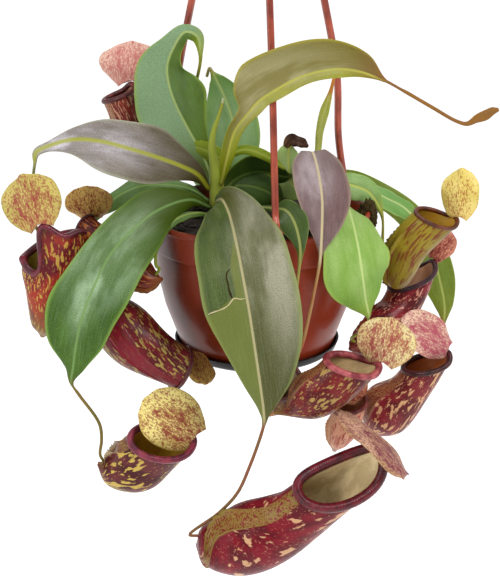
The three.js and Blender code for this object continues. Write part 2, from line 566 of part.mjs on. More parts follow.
const leaves = {
  front: {
    color: silverGreen, hollow: -0.1,
    rows: [onStem(crown, -85, 9), [-23.5, -25, 12, 4, 4], [-21, -36, 15, 11, 12],
      [-17, -54, 12.5, 18, 19], [-13, -80, 5.5, 24, 26], [-9, -98, -9, 25, 28.5],
      [-5, -106, -29.5, 24.5, 29.5], [-1.5, -108, -53, 17, 27], [1.5, -107, -75, 9, 18.5],
      [3.5, -104, -93, 2.6, 5.2], [3.7, -103, -101, 1.2, 1.2], [2, -103, -108], [-4.5, -101, -129],
      [-12, -99, -148], [-23, -97.5, -162], ...toPitcher("front")],
  },
  left_low: {
    color: leafGreen, hollow: -0.12,
    rows: [onStem(crown, -150, 5), [-40, -28, 13, 5, 5], [-57, -44, 12, 14, 12], [-70.5, -56, 5, 15, 19],
      [-85, -64, -9, 16, 22], [-96, -69, -29, 20, 22], [-103, -71, -46, 23, 19.5],
      [-107.5, -72, -64, 18, 15.5], [-110, -71, -79, 6, 7], [-111.5, -70, -89.5, 1.2, 1.2],
      [-107.5, -70, -97], [-96, -70, -116], [-95, -70, -127], ...toPitcher("left_front")],
  },
  left_silver: {
    color: silverGreen, hollow: 0.1,
    rows: [onStem(crown, -170, 16), [-36, -22, 27, 5, 5], [-46, -28, 34, 10, 9.5],
      [-60.5, -34, 41, 17, 17], [-75.5, -39, 47, 16, 18.5], [-91.5, -42, 52, 13, 17],
      [-107, -44, 53.5, 7, 10], [-120, -45, 50.5, 3, 4], [-129, -44, 46, 2.4, 2.4], [-131.5, -39, 38],
      [-135, -30, 24], [-138, -24, 3], [-130, -22, -22], [-128, -22, -46], ...toPitcher("left")],
  },
  upright: {
    color: leafGreen, hollow: 0.16,
    rows: [onStem(crown, 120, 18), [-33, -2, 33, 5, 5], [-41, 2, 47, 11, 18], [-49.5, 5, 63, 20, 25],
      [-54, 6, 76, 19, 22], [-55, 6, 88, 11, 18], [-51, 5, 99, 6, 10], [-43.5, 3, 109, 5, 5],
      [-36.5, 3, 106.5, 4, 4], [-34.5, 5, 95, 1.3, 1.3], [-37, 14, 80], [-44, 28, 58], [-56, 38, 36],
      [-66, 37, 24], ...toPitcher("top_left")],
  },
  upright_back: {
    color: leafGreen, hollow: 0.14,
    rows: [onStem(crown, 80, 12), [-24.5, 5, 29, 5, 5], [-22.5, 15, 43, 11, 12],
      [-22, 23, 60, 12.5, 13.5], [-24.5, 27, 72, 9, 9], [-28, 29, 79, 1.5, 1.5], [-30, 35, 82],
      [-32, 42, 76]],
  },
  arching: {
    color: leafGreen, hollow: 0.2, face: [0, -0.9, -0.42],
    rows: [onStem(crown, -50, 20), [-18.5, -34, 39, 3, 3], [-13, -46, 60, 4, 4], [-5, -54, 72, 5, 14],
      [7, -60, 84, 6, 27], [23.5, -63, 93.5, 6, 26], [42.5, -66, 98.5, 5.5, 22], [56.5, -68, 97.5, 4, 15],
      [69.5, -70, 93, 1.3, 1.3], [83.5, -72, 85.5], [97, -74, 78], [110, -76, 71],
      [116, -76, 69.5, 1.3, 1.3], [121.5, -76, 72.5, 2.6, 2.6], [128, -76, 76, 3.2, 3.2],
      [133, -76, 77.5, 1, 1]],
  },
  purple: {
    color: silverGreen, hollow: 0.14, faceStart: [0, -0.2, 1],
    rows: [onStem(sideShoot, -90, 20), [34, 6, 31, 4, 4], [34, -8, 37.5, 8, 8], [36, -27, 33, 15, 14],
      [38, -48, 19.5, 15, 17], [37.5, -62, 7, 9, 12], [36.5, -71, -6, 1.8, 2.2], [35.5, -75, -14],
      [32, -82, -30], [29, -87, -43], [25, -91, -58], [17, -93, -72], [8, -93, -86], [3, -92, -96],
      ...toPitcher("right_front")],
  },
  narrow: {
    color: stemGreen, hollow: 0.2,
    rows: [onStem(sideShoot, 60, 18), [39, 30, 28, 2, 2], [40, 26, 43, 2.5, 2.5], [42.5, 19, 58, 3, 3],
      [45.5, 12, 71, 1.4, 1.4], [47, 9, 79], [49, 9, 87]],
  },
  small_front: {
    color: leafGreen, hollow: 0.1, faceStart: [0, -0.2, 1],
    rows: [onStem(crown, -20, 6), [-8, -26, 14, 3, 3], [6, -40, 15, 5, 5], [16, -54, 12.5, 6, 6],
      [22, -67, 6, 5.5, 6.5], [24.5, -76, -5, 1.3, 1.3], [24, -78, -14], [22, -77, -31], [20, -70, -52],
      [20, -62, -74], ...toPitcher("under_leaf")],
  },
  right_front: {
    color: leafGreen, hollow: -0.1, face: [0.42, -0.85, 0.33],
    rows: [onStem(sideShoot, -40, 4), [46, 6, 9, 3, 3], [51, -14, 10, 7, 7], [56, -38, 9, 11, 12],
      [61, -58, -7, 16, 19], [64, -62, -25, 19, 18], [65, -59, -40, 11, 10], [66.5, -57, -52, 1.3, 1.3],
      [66, -53, -61], ...toPitcher("right_mid")],
  },
  right_back: {
    color: leafGreen, hollow: -0.1,
    rows: [onStem(sideShoot, -10, 10), [48, 14, 14, 4, 4], [60, 11, 12, 9, 8], [71, 8, 8, 7, 7],
      [79, 4, -5, 1.3, 1.3], [80, 2, -22], [80, 5, -44], [72, 6, -80], [58, -14, -110], [50, -36, -126],
      ...toPitcher("behind_front")],
  },
  right_back_low: {
    color: leafGreen, hollow: -0.1, face: [0, -0.5, 0.85],
    rows: [onStem(sideShoot, 10, 1), [50, 23, 9, 4, 4], [67, 23, 8, 6, 7], [84, 27, -1, 10, 10],
      [97, 30, -9, 8, 8], [105, 26, -18, 1.3, 1.3], [104, 16, -30], [96, -2, -40],
      ...toPitcher("right_top")],
  },
  far_right: {
    color: leafGreen, hollow: -0.1,
    rows: [onStem(sideShoot, 60, 4), [47, 42, 8, 4, 4], [63, 55, 5, 6, 6], [82, 60, -6, 8, 8],
      [104, 60, -22, 9, 9], [118, 54, -42, 11, 10], [125, 48, -64, 12, 11], [128.5, 44, -81, 7, 6],
      [128, 42, -94, 1.3, 1.3], [122, 30, -114], [100, 4, -132], [82, -20, -134],
      ...toPitcher("right_low")],
  },
  inner: {
    color: leafGreen, hollow: 0.12,
    rows: [onStem(crown, 20, 13), [-14, -9, 21, 6, 5], [-7, -3, 28, 11, 10], [1, 3, 32, 12, 12],
      [7, 7, 31, 7, 7], [11, 10, 28, 1.3, 1.3]],
  },
  back: {
    color: leafGreen, hollow: 0.14, face: [0, 0.35, 0.94],
    rows: [onStem(crown, 100, 5), [-27, 10, 16, 6, 6], [-29, 32, 24, 17, 17], [-31, 54, 22, 22, 22],
      [-33, 74, 10, 18, 18], [-34, 88, -8, 9, 9], [-34, 95, -24, 1.4, 1.4], [-33, 97, -42],
      [-31, 94, -56]],
  },
  back_left: {
    color: leafGreen, hollow: -0.1, face: [0, -0.4, 0.9],
    rows: [onStem(crown, 160, 7), [-42, -7, 14, 4, 4], [-58, -4, 16, 10, 10], [-78, 2, 12, 12, 12],
      [-96, 4, 0, 7, 7], [-106, 2, -12, 1.3, 1.3], [-110, -6, -28], [-108, -16, -40],
      ...toPitcher("left_low")],
  },
  low_left: {
    color: leafGreen, hollow: -0.1, face: [0, -0.5, 0.85],
    rows: [onStem(crown, -110, -1), [-33, -28, 4, 2.5, 2.5], [-39, -40, 6, 3.5, 3.5],
      [-44, -50, 5.5, 3, 3], [-48, -57, 0, 1.3, 1.3], [-51, -61, -10], [-54, -60, -19],
      ...toPitcher("left_back")],
  },
};

const deadTipRows = [[31, 22, 18, 1.3, 1.3], [25, 19, 25, 4, 4], [21, 16, 32, 8, 8], [21, 14, 39, 7, 7],
  [24, 13, 45, 3, 3], [28, 12, 48, 3, 3], [31.5, 12, 45, 1, 1]];
const shootRod = rod([...stemRows(sideShoot), [33, 21, 29, 1.6]], 8, 2);
add("side_shoot_stem", fromSolid(asSolid(shootRod).add(asSolid(blade(deadTipRows, { hollow: 0.1 })))), stemGreen);

for (const [name, leaf] of Object.entries(leaves)) {
  add(`leaf_${name}`, blade(leaf.rows, leaf), leaf.color);
}

for (const [name, pitcher] of Object.entries(pitchers)) {
  add(`pitcher_${name}_cup`, cup(pitcher), cupRed);
  if (pitcher.plain) {
    const joined = asSolid(rolledRim(pitcher)).add(asSolid(lid(pitcher, 1.4)));
    add(`pitcher_${name}_rim_and_lid`, fromSolid(joined), rimCrimson);
  } else {
    add(`pitcher_${name}_rim`, rolledRim(pitcher), rimCrimson);
    add(`pitcher_${name}_lid`, lid(pitcher), lidYellow);
  }
}

plant.position.z = -hangHeight;

export default plant;
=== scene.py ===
import math
import random
import bpy
from mathutils import Matrix, Vector, noise
from mathutils.interpolate import poly_3d_calc


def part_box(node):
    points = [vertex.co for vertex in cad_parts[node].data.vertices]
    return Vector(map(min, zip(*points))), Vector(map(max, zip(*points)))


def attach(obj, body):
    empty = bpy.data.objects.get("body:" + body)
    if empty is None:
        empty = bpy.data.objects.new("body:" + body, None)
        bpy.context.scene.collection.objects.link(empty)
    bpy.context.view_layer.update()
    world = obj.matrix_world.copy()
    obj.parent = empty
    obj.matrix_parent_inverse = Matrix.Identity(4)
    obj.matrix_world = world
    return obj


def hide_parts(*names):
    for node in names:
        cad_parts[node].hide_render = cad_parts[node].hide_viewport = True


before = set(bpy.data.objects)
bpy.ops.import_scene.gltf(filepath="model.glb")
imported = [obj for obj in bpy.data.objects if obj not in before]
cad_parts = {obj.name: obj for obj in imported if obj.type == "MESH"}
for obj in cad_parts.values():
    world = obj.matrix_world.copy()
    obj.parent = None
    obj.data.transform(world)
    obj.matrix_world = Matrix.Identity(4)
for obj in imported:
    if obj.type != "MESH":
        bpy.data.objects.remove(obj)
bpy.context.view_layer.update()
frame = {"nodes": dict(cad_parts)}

random.seed(11)

# Shapes are laid out in millimetres from the middle of the pot's rim. The origin is the hook's inner top.
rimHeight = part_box("pot")[1][2]
towardFront = (0, -0.94, 0.33)


def spot(point):
    return Vector((point[0] / 1000, point[1] / 1000, point[2] / 1000 + rimHeight))


def camel(words):
    first, *rest = words.split("_")
    return first + "".join(word.title() for word in rest)


def ease(low, high, value):
    share = min(max((value - low) / (high - low), 0), 1)
    return share * share * (3 - 2 * share)


def mix(start, end, share):
    return start + (end - start) * share


def readAlong(values, share):  # a list of numbers read smoothly at any share of its length
    place = min(max(share, 0), 1) * (len(values) - 1)
    i = min(int(place), len(values) - 2)
    f = place - i
    startSlope = (values[i + 1] - values[max(i - 1, 0)]) / 2
    endSlope = (values[min(i + 2, len(values) - 1)] - values[i]) / 2
    return ((2 * f ** 3 - 3 * f ** 2 + 1) * values[i] + (f ** 3 - 2 * f ** 2 + f) * startSlope
            + (3 * f ** 2 - 2 * f ** 3) * values[i + 1] + (f ** 3 - f ** 2) * endSlope)


class Path:  # a smooth line through rows of x, y, z
    def __init__(self, rows):
        points = [Vector(row[:3]) for row in rows]
        self.points = [points[0] * 2 - points[1]] + points + [points[-1] * 2 - points[-2]]
        self.spans = len(rows) - 1

    def at(self, share):
        place = min(max(share, 0), 1) * self.spans
        i = min(int(place), self.spans - 1)
        f = place - i
        a, b, c, d = self.points[i:i + 4]
        first, middle, last = [(q - p).length ** 0.5 for p, q in ((a, b), (b, c), (c, d))]
        leave = ((b - a) / first - (c - a) / (first + middle) + (c - b) / middle) * middle
        reach = ((c - b) / middle - (d - b) / (middle + last) + (d - c) / last) * middle
        curve = 3 * (c - b) - 2 * leave - reach
        return b + leave * f + curve * f ** 2 + (2 * (b - c) + leave + reach) * f ** 3

    def heading(self, share):
        low, high = max(share - 1e-4, 0), min(share + 1e-4, 1)
        return (self.at(high) - self.at(low)).normalized()


# Modelling tools

def clearSelection():
    if bpy.context.object and bpy.context.object.mode != "OBJECT":
        bpy.ops.object.mode_set(mode="OBJECT")
    bpy.ops.object.select_all(action="DESELECT")


def pick(piece):
    clearSelection()
    piece.select_set(True)
    bpy.context.view_layer.objects.active = piece


def sewn(piece):  # closes the seam and the ends of a rolled grid
    pick(piece)
    bpy.ops.object.mode_set(mode="EDIT")
    bpy.ops.mesh.select_all(action="SELECT")
    bpy.ops.mesh.remove_doubles(threshold=2e-6)
    bpy.ops.mesh.select_all(action="SELECT")
    bpy.ops.mesh.fill_holes(sides=0)
    bpy.ops.mesh.select_all(action="SELECT")
    bpy.ops.mesh.normals_make_consistent(inside=False)
    bpy.ops.object.mode_set(mode="OBJECT")
    bpy.ops.object.shade_smooth()
    return piece


def rolled(name, rings):
    # A flat grid laid into rings of points; each point carries its place on the unrolled piece
    along, around = len(rings) - 1, len(rings[0]) - 1
    clearSelection()
    bpy.ops.mesh.primitive_grid_add(x_subdivisions=around, y_subdivisions=along, size=2)
    piece = bpy.context.object
    piece.name = piece.data.name = name
    mesh = piece.data
    points, flats, places = [], [], []
    for vertex in mesh.vertices:
        i = round((vertex.co.x + 1) / 2 * around)
        k = round((vertex.co.y + 1) / 2 * along)
        point, flat, place = rings[k][i]
        points.extend(spot(point))
        flats.extend((flat[0] / 1000, flat[1] / 1000, flat[2]))
        places.extend(place)
    mesh.vertices.foreach_set("co", points)
    for key, values in (("flat", flats), ("place", places)):
        mesh.attributes.new(key, "FLOAT_VECTOR", "POINT").data.foreach_set("vector", values)
    mesh.update()
    return sewn(piece)


def turned(name, profile, sides=96):
    # A disc extruded and resized ring by ring along a profile of radius and height
    clearSelection()
    bpy.ops.mesh.primitive_circle_add(vertices=sides, radius=profile[0][0] / 1000, fill_type="NGON",
                                      enter_editmode=True)
    piece = bpy.context.object
    piece.name = piece.data.name = name
    bpy.ops.mesh.select_all(action="SELECT")
    bpy.ops.transform.translate(value=spot((0, 0, profile[0][1])))
    for (radius, height), (nextRadius, nextHeight) in zip(profile, profile[1:]):
        rise = (0, 0, (nextHeight - height) / 1000)
        bpy.ops.mesh.extrude_region_move(TRANSFORM_OT_translate={"value": rise})
        scale = nextRadius / radius
        bpy.ops.transform.resize(value=(scale, scale, 1), center_override=spot((0, 0, nextHeight)))
    bpy.ops.mesh.select_all(action="SELECT")
    bpy.ops.mesh.normals_make_consistent(inside=False)
    bpy.ops.object.mode_set(mode="OBJECT")
    bpy.ops.object.shade_smooth_by_angle(angle=math.radians(35))
    return piece


def shaped(add, spans, place, **settings):
    # A plain solid resized and moved in edit mode, so that the object itself stays at the origin
    clearSelection()
    add(enter_editmode=True, **settings)
    bpy.ops.transform.resize(value=[span / 1000 for span in spans], center_override=(0, 0, 0))
    bpy.ops.transform.translate(value=spot(place))
    bpy.ops.object.mode_set(mode="OBJECT")
    return bpy.context.object


def finishBevel(piece, width, segments=3, angle=30):
    pick(piece)
    bevel = piece.modifiers.new("edges", "BEVEL")
    bevel.width = width / 1000
    bevel.segments = segments
    bevel.limit_method = "ANGLE"
    bevel.angle_limit = math.radians(angle)
    bpy.ops.object.modifier_apply(modifier=bevel.name)


def joined(name, pieces):
    clearSelection()
    for piece in pieces:
        piece.select_set(True)
    bpy.context.view_layer.objects.active = pieces[0]
    bpy.ops.object.join()
    whole = bpy.context.object
    whole.name = whole.data.name = name
    return whole


def painted(piece, finish):
    piece.data.materials.clear()
    piece.data.materials.append(finish.material)
    return piece


def placed(piece, node):
    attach(piece, "root")
    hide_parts(node)


def lumpy(point, lumps):  # each lump is a height and how many there are to a metre
    return sum(height * noise.noise(point * count) for height, count in lumps)


# Finishes

class Signal:  # a socket that can be used in sums
    def __init__(self, finish, socket):
        self.finish = finish
        self.socket = socket

    def maths(self, operation, other, swapped=False):
        return self.finish.add("Math", {"operation": operation}, (other, self) if swapped else (self, other))

    def __add__(self, other):
        return self.maths("ADD", other)

    def __sub__(self, other):
        return self.maths("SUBTRACT", other)

    def __rsub__(self, other):
        return self.maths("SUBTRACT", other, True)

    def __mul__(self, other):
        return self.maths("MULTIPLY", other)

    def __abs__(self):
        return self.maths("ABSOLUTE", 0)

    __radd__ = __add__
    __rmul__ = __mul__


def tone(code):  # a colour as on a screen, to Blender's linear values
    parts = [int(code[i:i + 2], 16) / 255 for i in (1, 3, 5)]
    return (*[p / 12.92 if p <= 0.04045 else ((p + 0.055) / 1.055) ** 2.4 for p in parts], 1)


class Finish:
    def __init__(self, name, **settings):
        self.material = bpy.data.materials.new(name)
        self.material.use_nodes = True
        self.tree = self.material.node_tree
        self.shader = self.tree.nodes["Principled BSDF"]
        for key, value in settings.items():
            self.shader.inputs[key.replace("_", " ")].default_value = value

    def add(self, kind, settings=None, values=(), output=0):
        node = self.tree.nodes.new("ShaderNode" + kind)
        for key, value in (settings or {}).items():
            setattr(node, key, value)
        for key, value in values.items() if isinstance(values, dict) else enumerate(values):
            if isinstance(value, Signal):
                self.tree.links.new(value.socket, node.inputs[key])
            else:
                node.inputs[key].default_value = tone(value) if isinstance(value, str) else value
        return Signal(self, node.outputs[output])

    def feed(self, name, signal):
        self.tree.links.new(signal.socket, self.shader.inputs[name])

    def attribute(self, name):
        return self.add("Attribute", {"attribute_name": name}, output=1)

    def inSpace(self):  # the place of each point in metres
        return self.add("TexCoord", output=3)

    def parts(self, vector):
        split = self.add("SeparateXYZ", values=(vector,))
        return [Signal(self, output) for output in split.socket.node.outputs]

    def vector(self, *values):
        return self.add("CombineXYZ", values=values)

    def grain(self, vector, stretch, detail=3, roughness=0.5, distortion=0.0):
        scaled = self.add("VectorMath", {"operation": "MULTIPLY"}, (vector, stretch))
        return self.add("TexNoise", values={"Vector": scaled, "Scale": 1, "Detail": detail,
                                            "Roughness": roughness, "Distortion": distortion})

    def step(self, value, low, high):
        return self.add("MapRange", {"interpolation_type": "SMOOTHSTEP"}, (value, low, high, 0, 1))

    def blend(self, factor, under, over):
        return self.add("Mix", {"data_type": "RGBA"}, {0: factor, 6: under, 7: over}, 2)

    def over(self, paint, color, value, low, high, amount=1):
        # The paint with a colour laid on it where a value rises from low to high
        share = self.step(value, low, high)
        return self.blend(share if amount == 1 else share * amount, paint, color)

    def bump(self, height, distance, strength=1.0):
        values = {"Strength": strength, "Distance": distance, "Height": height}
        self.feed("Normal", self.add("Bump", values=values))


# Camera, light and floor

view = {"place": (-4.4, -771, 214), "tiltDown": 19.3, "lens": 78.2, "sensor": 36, "nearest": 0.02}

bpy.ops.object.camera_add(location=spot(view["place"]), rotation=(math.radians(90 - view["tiltDown"]), 0, 0))
camera = bpy.context.object
camera.data.lens = view["lens"]
camera.data.sensor_width = view["sensor"]
camera.data.clip_start = view["nearest"]
bpy.context.scene.camera = camera
bpy.context.scene.view_settings.view_transform = "Standard"

studio = {  # in metres from the hook
    "key": {"place": (0.75, -1.0, 1.15), "size": 0.7, "power": 23},
    "fill": {"place": (-1.3, -0.9, 0.3), "size": 0.9, "power": 9},
    "back": {"place": (-0.3, 1.2, 0.9), "size": 1.0, "power": 9},
    "aim": (0, 0, -0.33),
    "world": 0.42,
    "horizon": (0.03, 0.1),  # where the backdrop turns from white to its dimmer light
    "floorDepth": 1.35,
    "floorRadius": 60,
    "floorGlow": 0.68,
}


def lamp(name, place, size, power):
    bpy.ops.object.light_add(type="AREA", location=place)
    light = bpy.context.object
    light.name = name
    light.data.size = size
    light.data.energy = power
    light.rotation_euler = (Vector(studio["aim"]) - Vector(place)).to_track_quat("-Z", "Y").to_euler()


for lampName in ("key", "fill", "back"):
    lamp(lampName, **studio[lampName])

world = bpy.data.worlds.new("studio")
bpy.context.scene.world = world
world.use_nodes = True
sky = world.node_tree
backdrop = sky.nodes["Background"]
backdrop.inputs["Color"].default_value = (1, 1, 1, 1)
looking = sky.nodes.new("ShaderNodeTexCoord")
parted = sky.nodes.new("ShaderNodeSeparateXYZ")
dimmer = sky.nodes.new("ShaderNodeMapRange")
low, high = studio["horizon"]
for key, value in (("From Min", low), ("From Max", high), ("To Min", 1), ("To Max", studio["world"])):
    dimmer.inputs[key].default_value = value
sky.links.new(looking.outputs["Generated"], parted.inputs[0])
sky.links.new(parted.outputs[2], dimmer.inputs["Value"])
sky.links.new(dimmer.outputs[0], backdrop.inputs["Strength"])

clearSelection()
bpy.ops.mesh.primitive_circle_add(vertices=96, radius=studio["floorRadius"], fill_type="NGON",
                                  enter_editmode=True)
bpy.ops.transform.translate(value=(0, 0, -studio["floorDepth"]))
bpy.ops.object.mode_set(mode="OBJECT")
floor = bpy.context.object
floor.name = "floor"
floorPaint = Finish("pale floor", Base_Color=(0.92, 0.92, 0.92, 1), Roughness=0.9,
                    Emission_Color=(1, 1, 1, 1), Emission_Strength=studio["floorGlow"])
painted(floor, floorPaint)
print("camera, lights and floor set")


# Pot, saucer and potting mix

potShape = {  # radius and height
    "outside": [(46.5, -90), (48.2, -89.4), (49.8, -86), (59, -60), (63.4, -40), (65, -21.4), (66, -20.4),
                (67.6, -20.1), (68.2, -19), (69.9, -4.6), (70.6, -3.7), (71.2, -2.4), (71, -0.6), (70, 0)],
    "inside": [(68.8, -0.3), (68.1, -1.4), (67.5, -4), (66, -19.4), (63.2, -22), (61.6, -40), (57, -60),
               (47.8, -85.4), (45, -88)],
    "sides": 128,
}
saucerShape = [(47, -92.2), (49.5, -91), (51.8, -89), (53.2, -85.2), (52.6, -84.9), (51.8, -85.1),
               (50.4, -88.8), (47.2, -90.7), (42, -90.3)]


def plasticFinish(name, color, deep, rough, scale=40, paintedShade=0, gloss=0.2):
    finish = Finish(name, Coat_Weight=0.05, Coat_Roughness=0.12, Specular_IOR_Level=gloss)
    where = finish.inSpace()
    cloud = finish.grain(where, (scale, scale, scale * 0.5), 3)
    fine = finish.grain(where, (900, 900, 900), 2)
    scuff = finish.step(finish.grain(where, (60, 60, 420), 4, 0.7), 0.6, 0.78)
    paint = finish.over(deep, color, cloud, 0.3, 0.7)
    if paintedShade:  # painted shade: the left side is painted darker and the right side lighter, as the light falls
        litSide = finish.step(finish.parts(where)[0] + cloud * 0.02, -0.045, 0.06)
        paint = finish.blend(litSide * paintedShade, finish.blend(0.75, paint, deep), color)
    finish.feed("Base Color", finish.blend(scuff * 0.18, paint, "#d9a48c"))
    finish.feed("Roughness", rough + cloud * 0.12 + scuff * 0.15)
    finish.bump(fine * 0.6 + cloud, 0.00012, 0.35)
    return finish


# The pot's paint carries painted shade on its left side and a painted lighter tone on its right
potPaint = plasticFinish("moulded terracotta plastic", "#a83e22", "#451a0c", 0.24, paintedShade=0.9)
armPaint = plasticFinish("hanger plastic", "#ad4c32", "#76291a", 0.27, 120, gloss=0.5)
saucerPaint = plasticFinish("black plastic", "#0c0d0f", "#060607", 0.4)

pot = turned("flowerPot", potShape["outside"] + potShape["inside"], potShape["sides"])
placed(painted(pot, potPaint), "pot")
saucer = turned("dripSaucer", saucerShape, potShape["sides"])
placed(painted(saucer, saucerPaint), "drip_saucer")

soilShape = {
    "side": [(46, -85.5), (65.4, -20), (66.2, -10)], "height": -8.4, "radius": 66.5, "middle": 0.3,
    "rings": 22, "sides": 96,
    "roughAbove": -9.5, "rough": 1.9, "lumps": [(1, 120), (0.6, 330)],
}
chipShape = {
    "count": 220, "size": (3.4, 2.2, 0.9), "spread": 64, "scale": (0.45, 1.3), "tilt": 0.6,
    "height": (-9, -6.6), "first": (0, 0, -8.5),
}
# A dry clump of moss that has grown over the rim at the right
clump = {
    "place": (69.5, -2, -5), "size": (6.5, 7, 9.5), "rough": 0.45, "lumps": [(0.7, 260), (0.6, 700)],
    "color": "#3b3018", "light": "#6d5c38",
}


def soilFinish():
    finish = Finish("potting mix", Roughness=0.95)
    where = finish.inSpace()
    coarse = finish.grain(where, (220, 220, 220), 5, 0.7)
    fleck = finish.grain(where, (700, 700, 700), 3)
    paint = finish.over("#120d0a", "#3a2b1e", coarse, 0.3, 0.7)
    finish.feed("Base Color", finish.over(paint, "#6d573c", fleck, 0.6, 0.68, 0.5))
    finish.bump(coarse, 0.002, 0.9)
    return finish


def mossFinish():
    finish = Finish("dry moss", Roughness=0.95, Specular_IOR_Level=0.1)
    fluff = finish.grain(finish.inSpace(), (500, 500, 260), 5, 0.75)
    finish.feed("Base Color", finish.over(clump["color"], clump["light"], fluff, 0.35, 0.7))
    finish.bump(fluff, 0.003, 1)
    return finish


def soilBed():
    rings = soilShape["rings"]
    profile = list(soilShape["side"])
    for k in range(rings):
        radius = mix(soilShape["radius"], soilShape["middle"], k / rings)
        profile.append((radius, soilShape["height"]))
    bed = turned("pottingMix", profile, soilShape["sides"])
    for vertex in bed.data.vertices:
        if vertex.co.z > spot((0, 0, soilShape["roughAbove"])).z:
            vertex.co.z += lumpy(vertex.co, soilShape["lumps"]) * soilShape["rough"] / 1000
    pick(bed)
    bpy.ops.object.shade_smooth()
    return bed


def barkChips():
    master = shaped(bpy.ops.mesh.primitive_ico_sphere_add, chipShape["size"], (0, 0, 0), subdivisions=1,
                    radius=1)
    master.data.transform(Matrix.Translation(-spot((0, 0, 0))))
    pieces = [master]
    for _ in range(chipShape["count"]):
        radius = chipShape["spread"] * random.random() ** 0.5
        angle = random.uniform(0, 2 * math.pi)
        turn = Matrix.Rotation(random.uniform(0, 6.28), 4, "Z")
        tilt = Matrix.Rotation(random.uniform(-chipShape["tilt"], chipShape["tilt"]), 4, "X")
        copy = master.copy()
        copy.data = master.data.copy()
        copy.data.transform(Matrix.Scale(random.uniform(*chipShape["scale"]), 4))
        height = random.uniform(*chipShape["height"])
        place = spot((radius * math.cos(angle), radius * math.sin(angle), height))
        copy.data.transform(Matrix.Translation(place) @ turn @ tilt)
        bpy.context.collection.objects.link(copy)
        pieces.append(copy)
    master.data.transform(Matrix.Translation(spot(chipShape["first"])))
    return joined("chips", pieces)


def mossClump():
    moss = shaped(bpy.ops.mesh.primitive_ico_sphere_add, clump["size"], clump["place"], subdivisions=5,
                  radius=1)
    centre = spot(clump["place"])
    for vertex in moss.data.vertices:
        swell = 1 + clump["rough"] * lumpy(vertex.co, clump["lumps"])
        vertex.co = centre + (vertex.co - centre) * swell
    pick(moss)
    bpy.ops.object.shade_smooth()
    return moss


soilPaint = soilFinish()
soil = painted(soilBed(), soilPaint)
moss = painted(mossClump(), mossFinish())
chips = painted(barkChips(), soilPaint)
placed(joined("pottingMix", [soil, chips, moss]), "potting_soil")
print("pot, saucer and potting mix made")


# Hanger

hanger = {
    "arms": {"front": (-81, 2), "right": (31, 6), "left": (155, 2)},  # azimuth and outward bow
    "armRod": 1.9,
    # Radius, height and share of the bow, from inside the hub down to the rim
    "armLine": [(3.6, 277.2, 0), (10, 248, 0), (25, 190, 1), (41, 130, 1), (53, 78, 1), (61, 40, 0),
                (64.6, 19, 0), (66.4, 12.6, 0), (69.2, 8.6, 0), (69.8, 3.2, 0)],
    # Two corners of each block of a clip, which straddles the rim
    "clip": [((65.3, -3.4, -5), (67.1, 3.4, 4.6)), ((65.4, -3.4, 0.6), (73, 3.4, 5.2)),
             ((71.6, -3.4, -6), (73.2, 3.4, 5))],
    "clipBevel": 0.5,
    "hub": 278,
    "hubShape": [(5.8, 0), (6.5, 0.8), (6.5, 6.4), (5.8, 8), (4, 13), (2.8, 19), (1.5, 20)],
    "hookCentre": 312, "hookInside": 9, "hookRod": 2.6, "hookTip": 2,
    "hookTurn": (-35, 0, 40, 80, 120, 160, 200, 232),
}


def rodShape(name, rows, outline, facing):
    # A section of (out, sideways) points carried along the rows; facing is the way its front looks
    path = Path(rows)
    steps = (len(rows) - 1) * 6
    rings = []
    length = 0
    for k in range(steps + 1):
        share = k / steps
        centre, heading = path.at(share), path.heading(share)
        sideways = heading.cross(Vector(facing)).normalized()
        out = sideways.cross(heading)
        if k:
            length += (centre - path.at((k - 1) / steps)).length
        size = readAlong([row[3] for row in rows], share)
        rings.append([(centre + (out * a + sideways * b) * size, (b, length, a), (a, share, 0))
                      for a, b in outline])
    return rolled(name, rings)


roundOutline = [(math.cos(math.radians(a)), math.sin(math.radians(a))) for a in range(0, 361, 18)]
ribbedHalf = [(1, 0), (0.86, 0.16), (1, 0.32), (1, 0.55), (0.9, 0.85), (0.55, 1), (0, 1.05), (-0.6, 1),
              (-0.9, 0.8), (-1, 0.4)]
ribbedOutline = ribbedHalf + [(-1, 0)] + [(a, -b) for a, b in reversed(ribbedHalf)]


def armPiece(name, azimuth, bow):
    turn = math.radians(azimuth)
    rows = []
    for radius, height, share in hanger["armLine"]:
        reach = radius + bow * share
        rows.append([reach * math.cos(turn), reach * math.sin(turn), height, hanger["armRod"]])
    pieces = [rodShape(name, rows, ribbedOutline, (math.cos(turn), math.sin(turn), 0.2))]
    for low, high in hanger["clip"]:
        spans = [h - l for l, h in zip(low, high)]
        middle = [(h + l) / 2 for l, h in zip(low, high)]
        block = shaped(bpy.ops.mesh.primitive_cube_add, spans, middle, size=1)
        block.data.transform(Matrix.Rotation(turn, 4, "Z"))
        finishBevel(block, hanger["clipBevel"])
        pieces.append(block)
    return joined(name, pieces)


def hookPiece(name):
    hub = turned(name, [(radius, hanger["hub"] + height) for radius, height in hanger["hubShape"]], 48)
    rod = hanger["hookRod"]
    bend = hanger["hookInside"] + rod
    rows = [(0, 0, hanger["hub"] + 12, rod), (0.6, 0, hanger["hub"] + 20, rod),
            (5.5, 0, hanger["hookCentre"] - bend + 2, rod)]
    for degrees in hanger["hookTurn"]:
        turn = math.radians(degrees)
        rows.append((bend * math.cos(turn), 0, hanger["hookCentre"] + bend * math.sin(turn), rod))
    rows[-1] = (*rows[-1][:3], hanger["hookTip"])
    return joined(name, [hub, rodShape("hookRod", rows, roundOutline, (0, 1, 0))])


for side, (azimuth, bow) in hanger["arms"].items():
    arm = armPiece(f"hangerArm_{side}", azimuth, bow)
    placed(painted(arm, armPaint), f"hanger_arm_{side}")
placed(painted(hookPiece("hangerHook"), armPaint), "hanger_hook")
print("hanger made")


# Stems and leaves

crown = {"x": -25, "y": -14, "radius": 4.4, "top": 26}
sideShoot = {"x": 33, "y": 22, "radius": 3.6, "top": 26}


